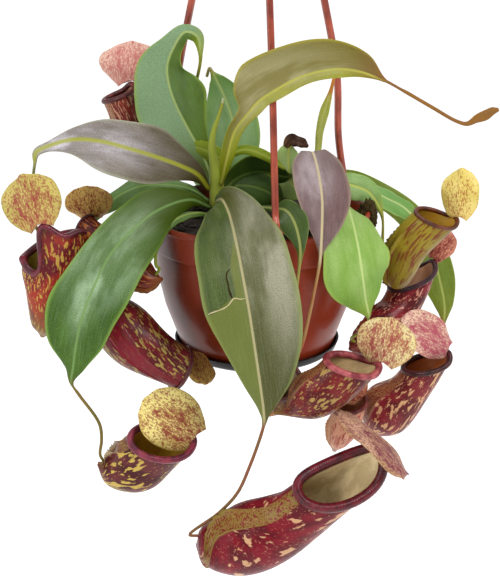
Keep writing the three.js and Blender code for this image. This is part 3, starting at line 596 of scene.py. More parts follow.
def onStem(stem, azimuth, height):
    turn = math.radians(azimuth)
    reach = stem["radius"] + 0.2
    return [stem["x"] + reach * math.cos(turn), stem["y"] + reach * math.sin(turn), height, 1.2]


# Where the points of a leaf's section lie: 1 is its left edge, 0 its midrib and -1 its right edge
halfSides = [1, 0.985, 0.94, 0.86, 0.75, 0.62, 0.48, 0.34, 0.2, 0.1, 0.04]
upperSides = halfSides + [0] + [-side for side in reversed(halfSides)]
lowerSides = [-0.95, -0.75, -0.5, -0.25, -0.08, 0, 0.08, 0.25, 0.5, 0.75, 0.95]

bladeForm = {
    "broad": 1.5,  # the blade begins and ends where the half width passes this
    "flattens": (1.5, 4),  # half widths between which the section turns from round to flat
    "tendril": (0.93, 1.06),  # share of the blade's length where its colour turns to the tendril's
    "midrib": 2.9, "thinning": 0.18,  # thickness at a narrow place, and how fast it falls with the width
    "groove": 1.1, "waveGrowth": 2.2, "waveLag": 1.7,
}


def bladeShape(name, rows, face=towardFront, faceStart=None, hollow=0.12, thickness=0.9, wave=(0.6, 5, 0.0),
               rib=0.35, shift=None, finePerRow=8):
    # A row is a point of the midrib or the tendril, then its half width, or that of its left and its right
    path = Path(rows)
    spans = len(rows) - 1
    widths = [[(row[3:] or [1.0])[side] for row in rows] for side in (0, -1)]
    broad = [width > bladeForm["broad"] for width in widths[0]] + [False]
    first = broad.index(True)
    bladeStart, bladeEnd = max(first - 1, 0), broad.index(False, first)
    steps = spans * finePerRow
    waveHeight, waves, firstTurn = wave
    shownEnd, shownStart = Vector(face).normalized(), Vector(faceStart or face).normalized()
    across = None
    rings = []
    length = 0
    before = path.at(0)
    for k in range(steps + 1):
        share = k / steps
        row = share * spans
        centre, heading = path.at(share), path.heading(share)
        length += (centre - before).length
        before = centre
        if across is None or row <= bladeEnd:
            shown = shownStart.lerp(shownEnd, ease(0, 0.3, share)).normalized()
            across = heading.cross(shown)
        across = (across - heading * across.dot(heading)).normalized()
        up = across.cross(heading)
        left, right = [max(readAlong(values, share), 0.6) for values in widths]
        narrow = min(left, right)
        thick = min(2 * narrow, max(thickness, bladeForm["midrib"] - bladeForm["thinning"] * narrow))
        flatness = ease(*bladeForm["flattens"], narrow)
        bladeShare = (row - bladeStart) / (bladeEnd - bladeStart)
        tendril = ease(*bladeForm["tendril"], bladeShare)
        ring = []
        for side, top in [(s, 1) for s in upperSides] + [(s, -1) for s in lowerSides] + [(1, 1)]:
            reach = left if side > 0 else right
            raised = flatness * hollow * reach * side * side
            turn = waves * 2 * math.pi * bladeShare + firstTurn + (bladeForm["waveLag"] if side > 0 else 0)
            ripple = flatness * waveHeight * abs(side) ** bladeForm["waveGrowth"] * math.sin(turn)
            groove = -flatness * rib * math.exp(-(side * reach / bladeForm["groove"]) ** 2)
            body = 0.5 * thick * top * math.sqrt(max(0, 1 - side * side))
            point = centre + across * (side * reach) + up * (raised + ripple + groove + body)
            if shift:
                point = point + heading * shift(side, bladeShare)
            ring.append((point, (side * reach, length, top), (side, bladeShare, tendril)))
        rings.append(ring)
    return rolled(name, rings)


# What a pitcher has where its own entry says nothing
plainPitcher = {"flat": 0, "dip": 0, "sag": 0, "steep": 6, "skew": 0, "twist": 0, "neck": 3, "lip": 3.2,
                "wing": 2, "wall": 1.6, "seat": {"share": 0}, "plain": False}


def cupFrames(pitcher):
    path = Path(pitcher["rows"] + [pitcher["mouth"]])
    hinge, side = Vector(pitcher["toHinge"]), Vector(pitcher["side"])
    halfLength, halfWidth = hinge.length, side.length
    mouthNormal = hinge.cross(side).normalized()
    if mouthNormal.dot(path.heading(0.95)) < 0:
        mouthNormal.negate()
    radii = [row[3] for row in pitcher["rows"]] + [(halfLength + halfWidth) / 2]
    middle = (path.at(0.8) - path.at(0.3)).normalized()
    start = (path.at(0.3) - path.at(0)).normalized()
    if "foot" in pitcher:
        start = Vector(pitcher["foot"]).normalized()

    def frameAt(share):
        opening = ease(0.35, 1, share)
        normal = start.lerp(middle, ease(0, 0.45, share)).lerp(mouthNormal, opening).normalized()
        back = (hinge - normal * hinge.dot(normal)).normalized()
        back = Matrix.Rotation(math.radians(pitcher["twist"]) * (1 - opening), 3, normal) @ back
        radius = readAlong(radii, share)
        return {**pitcher, "centre": path.at(share), "normal": normal, "back": back,
                "across": normal.cross(back), "open": opening, "long": mix(radius, halfLength, opening),
                "wide": mix(radius, halfWidth, opening)}
    return frameAt


def cupPoint(frame, angle, proud, neck):
    near = max(0, math.cos(angle))  # 1 at the lid's hinge
    climb = neck * near ** frame["steep"] - frame["sag"] * near - frame["dip"] * math.sin(angle) ** 2
    climb += frame["skew"] * near * math.sin(angle)
    wide = frame["wide"] * (1 - frame["flat"] * frame["open"] * max(0, math.sin(angle)))
    lengthwise = frame["back"] * ((frame["long"] + proud) * math.cos(angle))
    sideways = frame["across"] * ((wide + proud) * math.sin(angle))
    return frame["centre"] + lengthwise + sideways + frame["normal"] * (climb * frame["open"] ** 3)


def toPitcher(name):  # the end of a tendril, on the wall of the cup that it carries
    pitcher = pitchers[name]
    seat = pitcher["seat"]
    frameAt = cupFrames(pitcher)
    frame = frameAt(seat["share"])
    out, touch = -frame["normal"], frame["centre"].copy()
    if "toward" in seat:
        toward = Vector(seat["toward"])
        angle = math.atan2(toward.dot(frame["across"]), toward.dot(frame["back"]))
        touch = cupPoint(frame, angle, 0, 0)
        onward = cupPoint(frameAt(seat["share"] + 0.02), angle, 0, 0) - touch
        out = (cupPoint(frame, angle + 0.05, 0, 0) - touch).cross(onward).normalized()
        if out.dot(touch - frame["centre"]) < 0:
            out.negate()
    return [[*(touch + out * reach), 0.9] for reach in (5, -0.3)]


# "rows" are points up the cup's middle with its radius there. "toHinge" and "side" are half the mouth's
# length and width. A plain pitcher's rim and lid are one piece.
pitchers = {
    "front": {
        "rows": [[-37, -97, -184.5, 1.2], [-34.5, -97, -185.5, 9], [-29, -97, -186.5, 14],
                 [-19, -96.5, -186, 18.5], [-7, -96, -181, 22], [7, -96, -172.5, 23.5],
                 [21, -98, -161.5, 21], [32, -101, -151, 20]],
        "foot": [0.95, 0, 0.05], "flat": 0.42, "twist": -28, "mouth": [48.5, -106, -132.5],
        "toHinge": [25, 4, 10], "side": [5, -13, -12], "lip": 5, "neck": 6, "wing": 3, "wall": 2.2,
        "seat": {"share": 0.1, "toward": [-0.3, 0, 1]},
        "lid": {"tip": [47, -93, -97], "width": 14, "face": [0.55, -0.14, 0.8], "arch": 3, "lobe": 17,
                "clear": -1.4},
        "cupLook": {"ground": "#7a0f20", "dark": "#5a0c18", "flame": "#d0a278", "flames": 0.22,
                    "grain": (300, 150), "strip": "#8c7434", "foot": "#6a1420", "inside": "#e2cc9c"},
        "rimLook": {"color": "#6e1322", "dark": "#470a16"},
        "lidLook": {"ground": "#d0a588", "splash": "#7d3448", "splashes": 0.5, "edge": "#a98a50"},
    },
    "right_front": {
        "rows": [[10.5, -91, -99.5, 1.2], [18.5, -92, -98, 3.4], [28, -93.5, -91.5, 11.4],
                 [37.5, -95, -83.5, 14.3], [46.5, -96, -75.5, 13.5]],
        "mouth": [54.3, -96, -67], "toHinge": [15.5, 3, -4], "side": [-1, -13, -1], "lip": 3.4, "neck": 3,
        "wing": 2,
        "lid": {"tip": [77.5, -88, -41], "width": 17.5, "face": [-0.25, -0.95, 0.2], "arch": 3,
                "clear": -0.9},
        "cupLook": {"ground": "#711a1c", "dark": "#530e12", "flame": "#a8894a", "flames": 0.34,
                    "grain": (720, 230), "strip": "#8b633c", "foot": "#7d6a35", "inside": "#d8bd8c"},
        "rimLook": {"color": "#b85a5c", "dark": "#7d2630"},
        "lidLook": {"ground": "#dccf94", "splash": "#93303a", "splashes": 0.45, "edge": "#c9a060"},
    },
    "right_low": {
        "rows": [[69, -41, -132, 1.2], [73, -42, -129, 10], [79, -44, -122, 16], [87, -46, -110, 17.5],
                 [97, -48, -98, 14]],
        "mouth": [104.5, -48, -86], "toHinge": [14.5, 5, 3], "side": [0, -12.5, -1], "lip": 3, "neck": 3,
        "wing": 2, "seat": {"share": 0.12, "toward": [-0.6, 0.8, 0]},
        "lid": {"tip": [87, -53, -54.5], "width": 13.5, "face": [-0.3, -0.7, 0.65], "arch": 3},
        "cupLook": {"ground": "#7d2028", "dark": "#5c1418", "flame": "#d3a274", "flames": 0.42,
                    "grain": (640, 180), "strip": "#9a6a45", "foot": "#6d2622", "inside": "#cc7a44"},
        "rimLook": {"color": "#4d1518", "dark": "#2c080c"},
        "lidLook": {"ground": "#e2c4a8", "splash": "#a84458", "splashes": 0.6, "edge": "#c98a7c"},
    },
    "right_mid": {
        "rows": [[57.5, -40, -79.5, 1.2], [63, -35, -79.5, 6.5], [74, -24, -77, 10.3], [86, -12, -69, 10.8],
                 [95, -4, -58, 11]],
        "mouth": [100, 0, -46.5], "toHinge": [15, 7, 5.5], "side": [0, -11, -2], "lip": 2.8, "neck": 4,
        "wing": 1.6, "wall": 2.2, "seat": {"share": 0.12, "toward": [-0.2, -0.3, 0.9]},
        "lid": {"tip": [126, 15, -21], "width": 9, "face": [-0.4, -0.7, 0.6], "arch": 2, "clear": -0.5},
        "cupLook": {"ground": "#851c26", "dark": "#4f0d12", "flame": "#cf8f78", "flames": 0.32,
                    "grain": (640, 260), "strip": "#8d5a3c", "foot": "#6c2a20", "inside": "#c49a7a"},
        "rimLook": {"color": "#46121c", "dark": "#260810"},
        "lidLook": {"ground": "#c9836a", "splash": "#7d2a2a", "splashes": 0.5, "edge": "#c98a70"},
    },
    "right_top": {
        "rows": [[86, -20, -46, 1.2], [86.5, -24, -40, 7.2], [88.5, -29, -29, 9.8], [92.5, -32.5, -17, 9.9],
                 [99, -34.5, -6.5, 10]],
        "mouth": [107.5, -36, 3.6], "toHinge": [13, 4, -4], "side": [-2, -11.2, -1.5], "lip": 2.2,
        "neck": 2.5, "wing": 3.8, "seat": {"share": 0.14, "toward": [0.1, 1, 0]},
        "lid": {"tip": [123.5, -26, 32], "width": 12, "face": [-0.45, -0.87, 0.2], "arch": 3, "clear": -0.7},
        "cupLook": {"ground": "#92801a", "dark": "#86701a", "flame": "#74300f", "flames": 0.42,
                    "grain": (820, 110), "strip": "#98882a", "foot": "#7a4a10", "inside": "#b8862c"},
        "rimLook": {"color": "#6f3212", "dark": "#4a1a0a"},
        "lidLook": {"ground": "#e6d27c", "splash": "#a0502c", "splashes": 0.15, "edge": "#c8b048"},
    },
    "behind_front": {
        "rows": [[48, -57, -141, 1.2], [50, -58, -134, 6.3], [53, -60, -124, 9.6], [55, -60, -116, 10]],
        "mouth": [57, -60, -109], "toHinge": [10, 4, 2.5], "side": [0, -9.5, -1], "lip": 2.6, "neck": 2.5,
        "wing": 1.4, "plain": True, "seat": {"share": 0.18, "toward": [0, 1, 0]},
        "lid": {"tip": [50, -61, -92], "width": 10, "face": [-0.2, -0.8, 0.55], "arch": 2},
        "cupLook": {"ground": "#d8a082", "dark": "#bd7458", "flame": "#96302a", "flames": 0.45,
                    "grain": (760, 200), "strip": "#c08a60", "foot": "#8f8672", "inside": "#b5805c"},
        "rimLook": {"color": "#8a3c30", "dark": "#5a1c1a"},
        "lidLook": {"ground": "#c89068", "splash": "#86302a", "splashes": 0.5, "edge": "#b57a50"},
    },
    "under_leaf": {
        "rows": [[4, -64, -113, 1.2], [7, -65, -108, 6.5], [11, -68, -101, 10], [14, -71, -94, 10.3]],
        "mouth": [16, -74, -87], "toHinge": [5.5, 4, 9], "side": [8.5, -7, -2], "lip": 2.6, "neck": 2.5,
        "wing": 1.4, "plain": True, "seat": {"share": 0.2, "toward": [0, 1, 0]},
        "lid": {"tip": [10, -67, -64], "width": 7, "face": [-0.3, -0.8, 0.5], "arch": 1.5},
        "cupLook": {"ground": "#6a4a30", "dark": "#4a2a1c", "flame": "#94704a", "flames": 0.4,
                    "grain": (700, 260), "strip": "#80603a", "foot": "#5a3a22", "inside": "#9a7d66"},
        "rimLook": {"color": "#5c2a26", "dark": "#381214"},
        "lidLook": {"ground": "#8a6d40", "splash": "#5c2c20", "splashes": 0.5, "edge": "#8a6d40"},
    },
    "left": {
        "rows": [[-132, -46, -69, 1.2], [-129.5, -45.5, -63, 8.5], [-126.5, -44, -50, 13],
                 [-125, -43, -36, 13.6], [-124.5, -43, -23, 12.6]],
        "mouth": [-124, -44, -7.5], "toHinge": [0, -10, 1.5], "side": [-19, 0, -8], "dip": 4, "sag": 9,
        "steep": 14, "skew": 13, "lip": 3.8, "neck": 18, "wing": 2,
        "seat": {"share": 0.14, "toward": [0, 1, 0]},
        "lid": {"tip": [-139, -42, 32], "width": 18.5, "face": [-0.2, -0.9, 0.4], "arch": 3, "clear": -0.9},
        "cupLook": {"footReach": 0.6, "ground": "#9c2e20", "dark": "#641420", "flame": "#c09a44",
                    "flames": 0.42, "grain": (860, 210), "strip": "#a3923c", "foot": "#7d6a3c",
                    "inside": "#a3923c"},
        "rimLook": {"color": "#6e1828", "dark": "#4a0e1c"},
        "lidLook": {"ground": "#c4b464", "splash": "#923438", "splashes": 0.42, "edge": "#a9a04c"},
    },
    "left_back": {
        "rows": [[-57, -54, -29, 1.2], [-63, -51, -31.5, 6.5], [-72, -44.5, -27.5, 10],
                 [-82.5, -36, -22, 10.3], [-94, -28.5, -16, 9.8]],
        "mouth": [-104, -24, -9], "toHinge": [5, 6, 7], "side": [-6, -9, 2], "lip": 2.8, "neck": 3,
        "wing": 1.5, "plain": True, "seat": {"share": 0.12, "toward": [0.4, -0.3, 0.9]},
        "lid": {"tip": [-105, -18, 19], "width": 15, "face": [-0.1, -0.9, 0.4], "arch": 2},
        "cupLook": {"ground": "#6a2010", "dark": "#4a1016", "flame": "#b0662c", "flames": 0.4,
                    "grain": (720, 230), "strip": "#8a5a28", "foot": "#7a4214", "inside": "#94703c"},
        "rimLook": {"color": "#5f1422", "dark": "#3c0a14"},
        "lidLook": {"ground": "#d8b464", "splash": "#8a2c2c", "splashes": 0.3, "edge": "#c9a058"},
    },
    "top_left": {
        "rows": [[-75, 24, 14.6, 1.2], [-74.5, 23.5, 21, 6.4], [-76, 22, 33.5, 9.4], [-79, 21, 46.5, 9.2],
                 [-82.5, 20, 58, 9.6]],
        "mouth": [-86, 19, 68], "toHinge": [8, 8, 3], "side": [4, -9, 1], "lip": 2.8, "neck": 3,
        "wing": 1.5, "seat": {"share": 0.14, "toward": [0.7, 0.7, 0]},
        "lid": {"tip": [-78, 33, 99], "width": 21, "face": [-0.1, -0.95, 0.2], "arch": 3, "clear": -1},
        "cupLook": {"ground": "#86302a", "dark": "#641c1c", "flame": "#c08a6c", "flames": 0.5,
                    "grain": (760, 160), "strip": "#9a7450", "foot": "#86604a", "inside": "#b58a72"},
        "rimLook": {"color": "#7a2c2c", "dark": "#4a1418"},
        "lidLook": {"ground": "#dcb0a0", "splash": "#b86860", "splashes": 0.45, "edge": "#d8b8a4"},
    },
    "left_low": {
        "rows": [[-99, -29, -49, 1.2], [-95, -33, -53.5, 9.5], [-87, -38.5, -62, 16.5],
                 [-74, -45.5, -72, 19], [-60, -52, -79.5, 17]],
        "mouth": [-47, -58, -84.5], "toHinge": [1, 9, 9], "side": [7, -11, 8], "twist": -60, "lip": 3.2,
        "neck": 3, "wing": 1.6, "seat": {"share": 0.1, "toward": [-0.3, 0.6, 0.7]},
        "lid": {"tip": [-31, -64, -93], "width": 11, "face": [0.6, -0.7, 0.3], "arch": 2, "clear": 0.8},
        "cupLook": {"ground": "#6f1620", "dark": "#521016", "flame": "#a38c44", "flames": 0.42,
                    "grain": (820, 230), "strip": "#7d1526", "foot": "#6f5a28", "inside": "#b58a5c"},
        "rimLook": {"color": "#5c1c20", "dark": "#340c10"},
        "lidLook": {"ground": "#c9a85c", "splash": "#7c2c28", "splashes": 0.3, "edge": "#94702c"},
    },
    "left_front": {
        "rows": [[-98, -70, -143, 1.2], [-92.5, -70.5, -148.5, 8], [-84, -71, -149.5, 12.6],
                 [-74.5, -72, -144.5, 15.2], [-67, -73, -135.5, 15.2]],
        "foot": [0.9, 0, -0.3], "twist": -40, "mouth": [-58, -75, -126], "toHinge": [19, 6, -3.5],
        "side": [-5, -13, -4], "lip": 3.6, "neck": 3, "wing": 3.6,
        "seat": {"share": 0.12, "toward": [-0.6, 0, 0.8]},
        "lid": {"tip": [-68, -78, -96.5], "width": 18.5, "face": [0.1, -0.92, 0.35], "arch": 3},
        "cupLook": {"ground": "#642428", "dark": "#451418", "flame": "#c9ac50", "flames": 0.46,
                    "grain": (480, 120), "strip": "#8c6a40", "foot": "#6a3f2a", "inside": "#c8a43c",
                    "wing": "#c2ab84"},
        "rimLook": {"color": "#8a2c40", "dark": "#55122a"},
        "lidLook": {"ground": "#e8d886", "splash": "#86202a", "splashes": 0.45, "edge": "#c2a850"},
    },
}
for pitcher in pitchers.values():
    for key, value in plainPitcher.items():
        pitcher.setdefault(key, value)

# "rows" run from the stem along the midrib and the tendril, each with its half width, or with two of them
# where the left and the right differ
leaves = {
    "front": {
        "rows": [onStem(crown, -85, 9), [-23.5, -25, 12, 4], [-21, -36, 15, 11, 12],
                 [-17, -54, 12.5, 18, 19], [-13, -80, 5.5, 24, 26], [-9, -98, -9, 25, 28.5],
                 [-5, -106, -29.5, 24.5, 29.5], [-1.5, -108, -53, 17, 27], [1.5, -107, -75, 9, 18.5],
                 [3.5, -104, -93, 2.6, 5.2], [3.7, -103, -101, 1.2], [2, -103, -108],
                 [-4.5, -101, -129], [-12, -99, -148], [-23, -97.5, -162], *toPitcher("front")],
        "shape": {"hollow": -0.1},
        "look": {"base": "#38491a", "light": "#4c5c26", "sheen": "#bdb9a2", "sheenAmount": 0.6,
                 "rib": "#b3a97c", "edge": "#8f9a55", "foot": "#3c5a20", "tip": "#595a1a",
                 "tendril": "#8a5038", "gloss": 0.22, "torn": "#737a34", "half": "#474a1a",
                 "bloom": (-0.7, 0.48, 0.4), "footReach": 0.2},
    },
    "left_low": {
        "rows": [onStem(crown, -150, 5), [-40, -28, 13, 5], [-57, -44, 12, 14, 12],
                 [-70.5, -56, 5, 15, 19], [-85, -64, -9, 16, 22], [-96, -69, -29, 20, 22],
                 [-103, -71, -46, 23, 19.5], [-107.5, -72, -64, 18, 15.5], [-110, -71, -79, 6, 7],
                 [-111.5, -70, -89.5, 1.2], [-107.5, -70, -97], [-96, -70, -116], [-95, -70, -127],
                 *toPitcher("left_front")],
        "shape": {"hollow": -0.12},
        "look": {"base": "#33500c", "light": "#44681a", "sheen": "#abc79f", "sheenAmount": 1.0,
                 "rib": "#6f9050", "edge": "#8fb04c", "foot": "#3c4c08", "tip": "#4a5f16",
                 "tendril": "#7b6530", "footReach": 0.7, "gloss": 0.2, "bloom": (0.1, 0.45, 0.42)},
    },
    "left_silver": {
        "rows": [onStem(crown, -170, 16), [-36, -22, 27, 5], [-46, -28, 34, 10, 9.5],
                 [-60.5, -34, 41, 17], [-75.5, -39, 47, 16, 18.5], [-91.5, -42, 52, 13, 17],
                 [-107, -44, 53.5, 7, 10], [-120, -45, 50.5, 3, 4], [-129, -44, 46, 2.4],
                 [-131.5, -39, 38], [-135, -30, 24], [-138, -24, 3], [-130, -22, -22], [-128, -22, -46],
                 *toPitcher("left")],
        "shape": {"hollow": 0.1},
        "look": {"base": "#4d4326", "light": "#746a5c", "sheen": "#d2ccd4", "sheenAmount": 1.0,
                 "rib": "#9a9c26", "edge": "#a7a890", "foot": "#3a3208", "tip": "#a3a85c",
                 "tendril": "#5c5c24", "footReach": 0.5, "gloss": 0.35, "bloom": (0, 0.72, 0.62),
                 "ribWidth": 1.7},
    },
    "upright": {
        "rows": [onStem(crown, 120, 18), [-33, -2, 33, 5], [-41, 2, 47, 11, 18], [-49.5, 5, 63, 20, 25],
                 [-54, 6, 76, 19, 22], [-55, 6, 88, 11, 18], [-51, 5, 99, 6, 10], [-43.5, 3, 109, 5],
                 [-36.5, 3, 106.5, 4], [-34.5, 5, 95, 1.3], [-37, 14, 80], [-44, 28, 58],
                 [-56, 38, 36], [-66, 37, 24], *toPitcher("top_left")],
        "shape": {"hollow": 0.16},
        "look": {"base": "#42590a", "light": "#527012", "sheen": "#7f9a78", "sheenAmount": 0.3,
                 "half": "#7d9a72", "rib": "#9cae6a", "edge": "#8aa33c", "foot": "#55681a",
                 "tip": "#93a022", "tendril": "#8a7a2c", "gloss": 0.2},
    },
    "upright_back": {
        "rows": [onStem(crown, 80, 12), [-20, 4, 24, 6], [-15, 10, 34, 15, 18], [-15, 18, 50, 16, 18],
                 [-20, 24, 65, 12, 13], [-25.5, 28, 76, 5], [-28, 29, 80, 1.5], [-30, 35, 82],
                 [-32, 42, 76]],
        "shape": {"hollow": 0.14},
        "look": {"base": "#547a34", "light": "#688c48", "sheen": "#94ac84", "sheenAmount": 0.5,
                 "rib": "#98a860", "edge": "#8a9c4a", "foot": "#46702c", "tip": "#8a9a40",
                 "tendril": "#8a7a2c"},
    },
    "arching": {
        "rows": [onStem(crown, -50, 20), [-18.5, -34, 39, 4], [-13, -46, 60, 4.6],
                 [-5, -54, 72, 5.5, 7], [0.5, -57.5, 79, 5.8, 19], [7, -60, 84, 6, 27],
                 [23.5, -63, 93.5, 6, 26], [42.5, -66, 98.5, 5.5, 22], [56.5, -68, 97.5, 4, 15],
                 [69.5, -70, 93, 1.3], [83.5, -72, 85.5], [97, -74, 78], [110, -76, 71],
                 [116, -76, 69.5, 1.3], [121.5, -76, 72.5, 2.8], [128, -76, 76, 3.6],
                 [133, -76, 77.5, 1]],
        "shape": {"hollow": 0.2, "face": [0, -0.9, -0.42]},
        "look": {"base": "#8c8c24", "light": "#a0a030", "sheen": "#bcb68e", "sheenAmount": 0.75,
                 "half": "#74682a", "rib": "#b9b450", "edge": "#a9a030", "foot": "#7f8c14",
                 "tip": "#7a4f2c", "tendril": "#8a5f26"},
    },
    "purple": {
        "rows": [onStem(sideShoot, -90, 20), [34, 6, 31, 4], [34, -8, 37.5, 8], [36, -27, 33, 15, 14],
                 [38, -48, 19.5, 15, 17], [37.5, -62, 7, 9, 12], [36.5, -71, -6, 1.8, 2.2],
                 [35.5, -75, -14], [32, -82, -30], [29, -87, -43], [25, -91, -58], [17, -93, -72],
                 [8, -93, -86], [3, -92, -96], *toPitcher("right_front")],
        "shape": {"hollow": 0.14, "faceStart": [0, -0.2, 1]},
        "look": {"base": "#5f4644", "light": "#735a58", "sheen": "#b8a9ac", "sheenAmount": 0.85,
                 "rib": "#c9b98e", "edge": "#a08a72", "foot": "#5d6a22", "tip": "#a99a63",
                 "tendril": "#a4572f", "gloss": 0.25, "bloom": (0.3, 0.5, 0.35)},
    },
    "narrow": {
        "rows": [onStem(sideShoot, 60, 18), [39, 30, 28, 2], [40, 26, 43, 2.5],
                 [42.5, 19, 58, 3], [45.5, 12, 71, 1.4], [47, 9, 79], [49, 9, 87]],
        "shape": {"hollow": 0.2},
        "look": {"base": "#a9b04a", "light": "#b8bd5e", "sheen": "#c9cc80", "sheenAmount": 0.3,
                 "rib": "#c4c670", "edge": "#b1b654", "foot": "#6f7d20", "tip": "#b98a3a",
                 "tendril": "#b9702c"},
    },
    "small_front": {
        "rows": [onStem(crown, -20, 6), [-6, -24, 7, 2], [9, -38, 10, 3], [17, -51, 12.5, 8, 7],
                 [22, -65, 7.5, 9, 8], [24.5, -75, -3, 3], [24, -78, -12], [22, -77, -31],
                 [20, -70, -52], [20, -62, -74], *toPitcher("under_leaf")],
        "shape": {"hollow": 0.1, "faceStart": [0, -0.2, 1]},
        "look": {"base": "#2f4414", "light": "#44582a", "sheen": "#66784a", "sheenAmount": 0.4,
                 "rib": "#9aa05a", "edge": "#7d8a44", "foot": "#3d4f10", "tip": "#8a8a3a",
                 "tendril": "#a39a50"},
    },
    "right_front": {
        "rows": [onStem(sideShoot, -40, 4), [46, 6, 9, 3], [51, -14, 10, 7], [55, -38, 9, 14, 13],
                 [59, -58, -7, 22, 21], [62, -62, -25, 24, 20], [64.5, -59, -40, 13, 11],
                 [66.5, -57, -52, 1.3], [66, -53, -61], *toPitcher("right_mid")],
        "shape": {"hollow": -0.1, "face": [0.42, -0.85, 0.33]},
        "look": {"base": "#6c9630", "light": "#86ac4c", "sheen": "#bdd48c", "sheenAmount": 0.6,
                 "rib": "#c0d488", "edge": "#a3bd58", "foot": "#5d7d28", "tip": "#889e36",
                 "tendril": "#8b8a3a"},
    },
    "right_back": {
        "rows": [onStem(sideShoot, -10, 10), [48, 14, 14, 4], [60, 11, 12, 9, 8], [71, 8, 8, 7],
                 [79, 4, -5, 1.3], [80, 2, -22], [80, 5, -44], [72, 6, -80], [58, -14, -110],
                 [50, -36, -126], *toPitcher("behind_front")],
        "shape": {"hollow": -0.1},
        "look": {"base": "#6c9444", "light": "#8cb064", "sheen": "#b8d094", "sheenAmount": 0.55,
                 "rib": "#c2c860", "edge": "#a0b868", "foot": "#5d7d28", "tip": "#a5a83c",
                 "tendril": "#8b8a3a"},
    },
    "right_back_low": {
        "rows": [onStem(sideShoot, 10, 1), [50, 23, 9, 4], [67, 23, 8, 6, 7], [84, 27, -1, 10],
                 [97, 30, -9, 8], [105, 26, -18, 1.3], [104, 16, -30], [96, -2, -40],
                 *toPitcher("right_top")],
        "shape": {"hollow": -0.1, "face": [0, -0.5, 0.85]},
        "look": {"base": "#669444", "light": "#7ba858", "sheen": "#96bc7a", "sheenAmount": 0.4,
                 "rib": "#c2cf88", "edge": "#a8c274", "foot": "#5d7d28", "tip": "#9a8a3c",
                 "tendril": "#7d8a3a"},
    },
    "far_right": {
        "rows": [onStem(sideShoot, 60, 4), [47, 42, 8, 4], [63, 55, 5, 6], [82, 60, -6, 8],
                 [104, 60, -22, 9], [118, 54, -42, 11, 10], [125, 48, -64, 12, 11],
                 [128.5, 44, -81, 7, 6], [128, 42, -94, 1.3], [122, 30, -114], [100, 4, -132],
                 [82, -20, -134], *toPitcher("right_low")],
        "shape": {"hollow": -0.1},
        "look": {"base": "#5c6e16", "light": "#70822c", "sheen": "#8cac68", "sheenAmount": 0.3,
                 "rib": "#a4b05c", "edge": "#8a9c3c", "foot": "#4d5f18", "tip": "#7d7a2c",
                 "tendril": "#8a5a34"},
    },
    "inner": {
        "rows": [onStem(crown, 20, 13), [-16, -8, 19, 7, 8], [-9, -3, 22, 13], [1, 3, 23, 14, 13],
                 [11, 8, 20, 11, 9], [18, 11, 18, 5, 4], [22, 12, 18, 1.3]],
        "shape": {"hollow": 0.12, "face": [0, -0.85, -0.3], "wave": [0.4, 2, 0]},
        "look": {"base": "#203409", "light": "#2f460f", "sheen": "#4c6430", "sheenAmount": 0.3,
                 "rib": "#55682c", "edge": "#7f8a20", "foot": "#3a4a10", "tip": "#5a6818",
                 "tendril": "#3f4a12"},
    },
    "back": {
        "rows": [onStem(crown, 100, 5), [-27, 10, 16, 6], [-29, 32, 24, 17], [-31, 54, 22, 22],
                 [-33, 74, 10, 18], [-34, 88, -8, 9], [-34, 95, -24, 1.4], [-33, 97, -42],
                 [-31, 94, -56]],
        "shape": {"hollow": 0.14, "face": [0, 0.35, 0.94]},
        "look": {"base": "#3f5f1c", "light": "#567a2e", "sheen": "#8aa878", "sheenAmount": 0.4,
                 "rib": "#7d9a50", "edge": "#6f8f3c", "foot": "#2f4a0c", "tip": "#6f7a2c",
                 "tendril": "#7a6a30"},
    },
    "back_left": {
        "rows": [onStem(crown, 160, 7), [-42, -7, 14, 4], [-58, -4, 16, 10], [-78, 2, 12, 12],
                 [-96, 4, 0, 7], [-106, 2, -12, 1.3], [-110, -6, -28], [-108, -16, -40],
                 *toPitcher("left_low")],
        "shape": {"hollow": -0.1, "face": [0, -0.4, 0.9]},
        "look": {"base": "#3f5f1c", "light": "#567a2e", "sheen": "#8aa878", "sheenAmount": 0.35,
                 "rib": "#7d9a50", "edge": "#6f8f3c", "foot": "#2f4a0c", "tip": "#6f7a2c",
                 "tendril": "#7a6a30"},
    },
    "low_left": {
        "rows": [onStem(crown, -110, -1), [-35, -28, 4, 2.2], [-44, -37, 5, 3],
                 [-52, -45, 2, 2.6], [-57, -50, -5, 1.2], [-60, -54, -12], [-60, -56, -20],
                 *toPitcher("left_back")],
        "shape": {"hollow": -0.1, "face": [0, -0.5, 0.85]},
        "look": {"base": "#3a5016", "light": "#4c6420", "sheen": "#8aa878", "sheenAmount": 0.3,
                 "rib": "#8a9a50", "edge": "#6f8f3c", "foot": "#2f4a0c", "tip": "#6f7a2c",
                 "tendril": "#7d8a30"},
    },
}


# What a leaf's look has where its own entry says nothing
plainLook = {"gloss": 0.14, "bloom": (0, 0.5, 0.6), "footReach": 0.32, "tipFrom": 0.8, "ribWidth": 1}


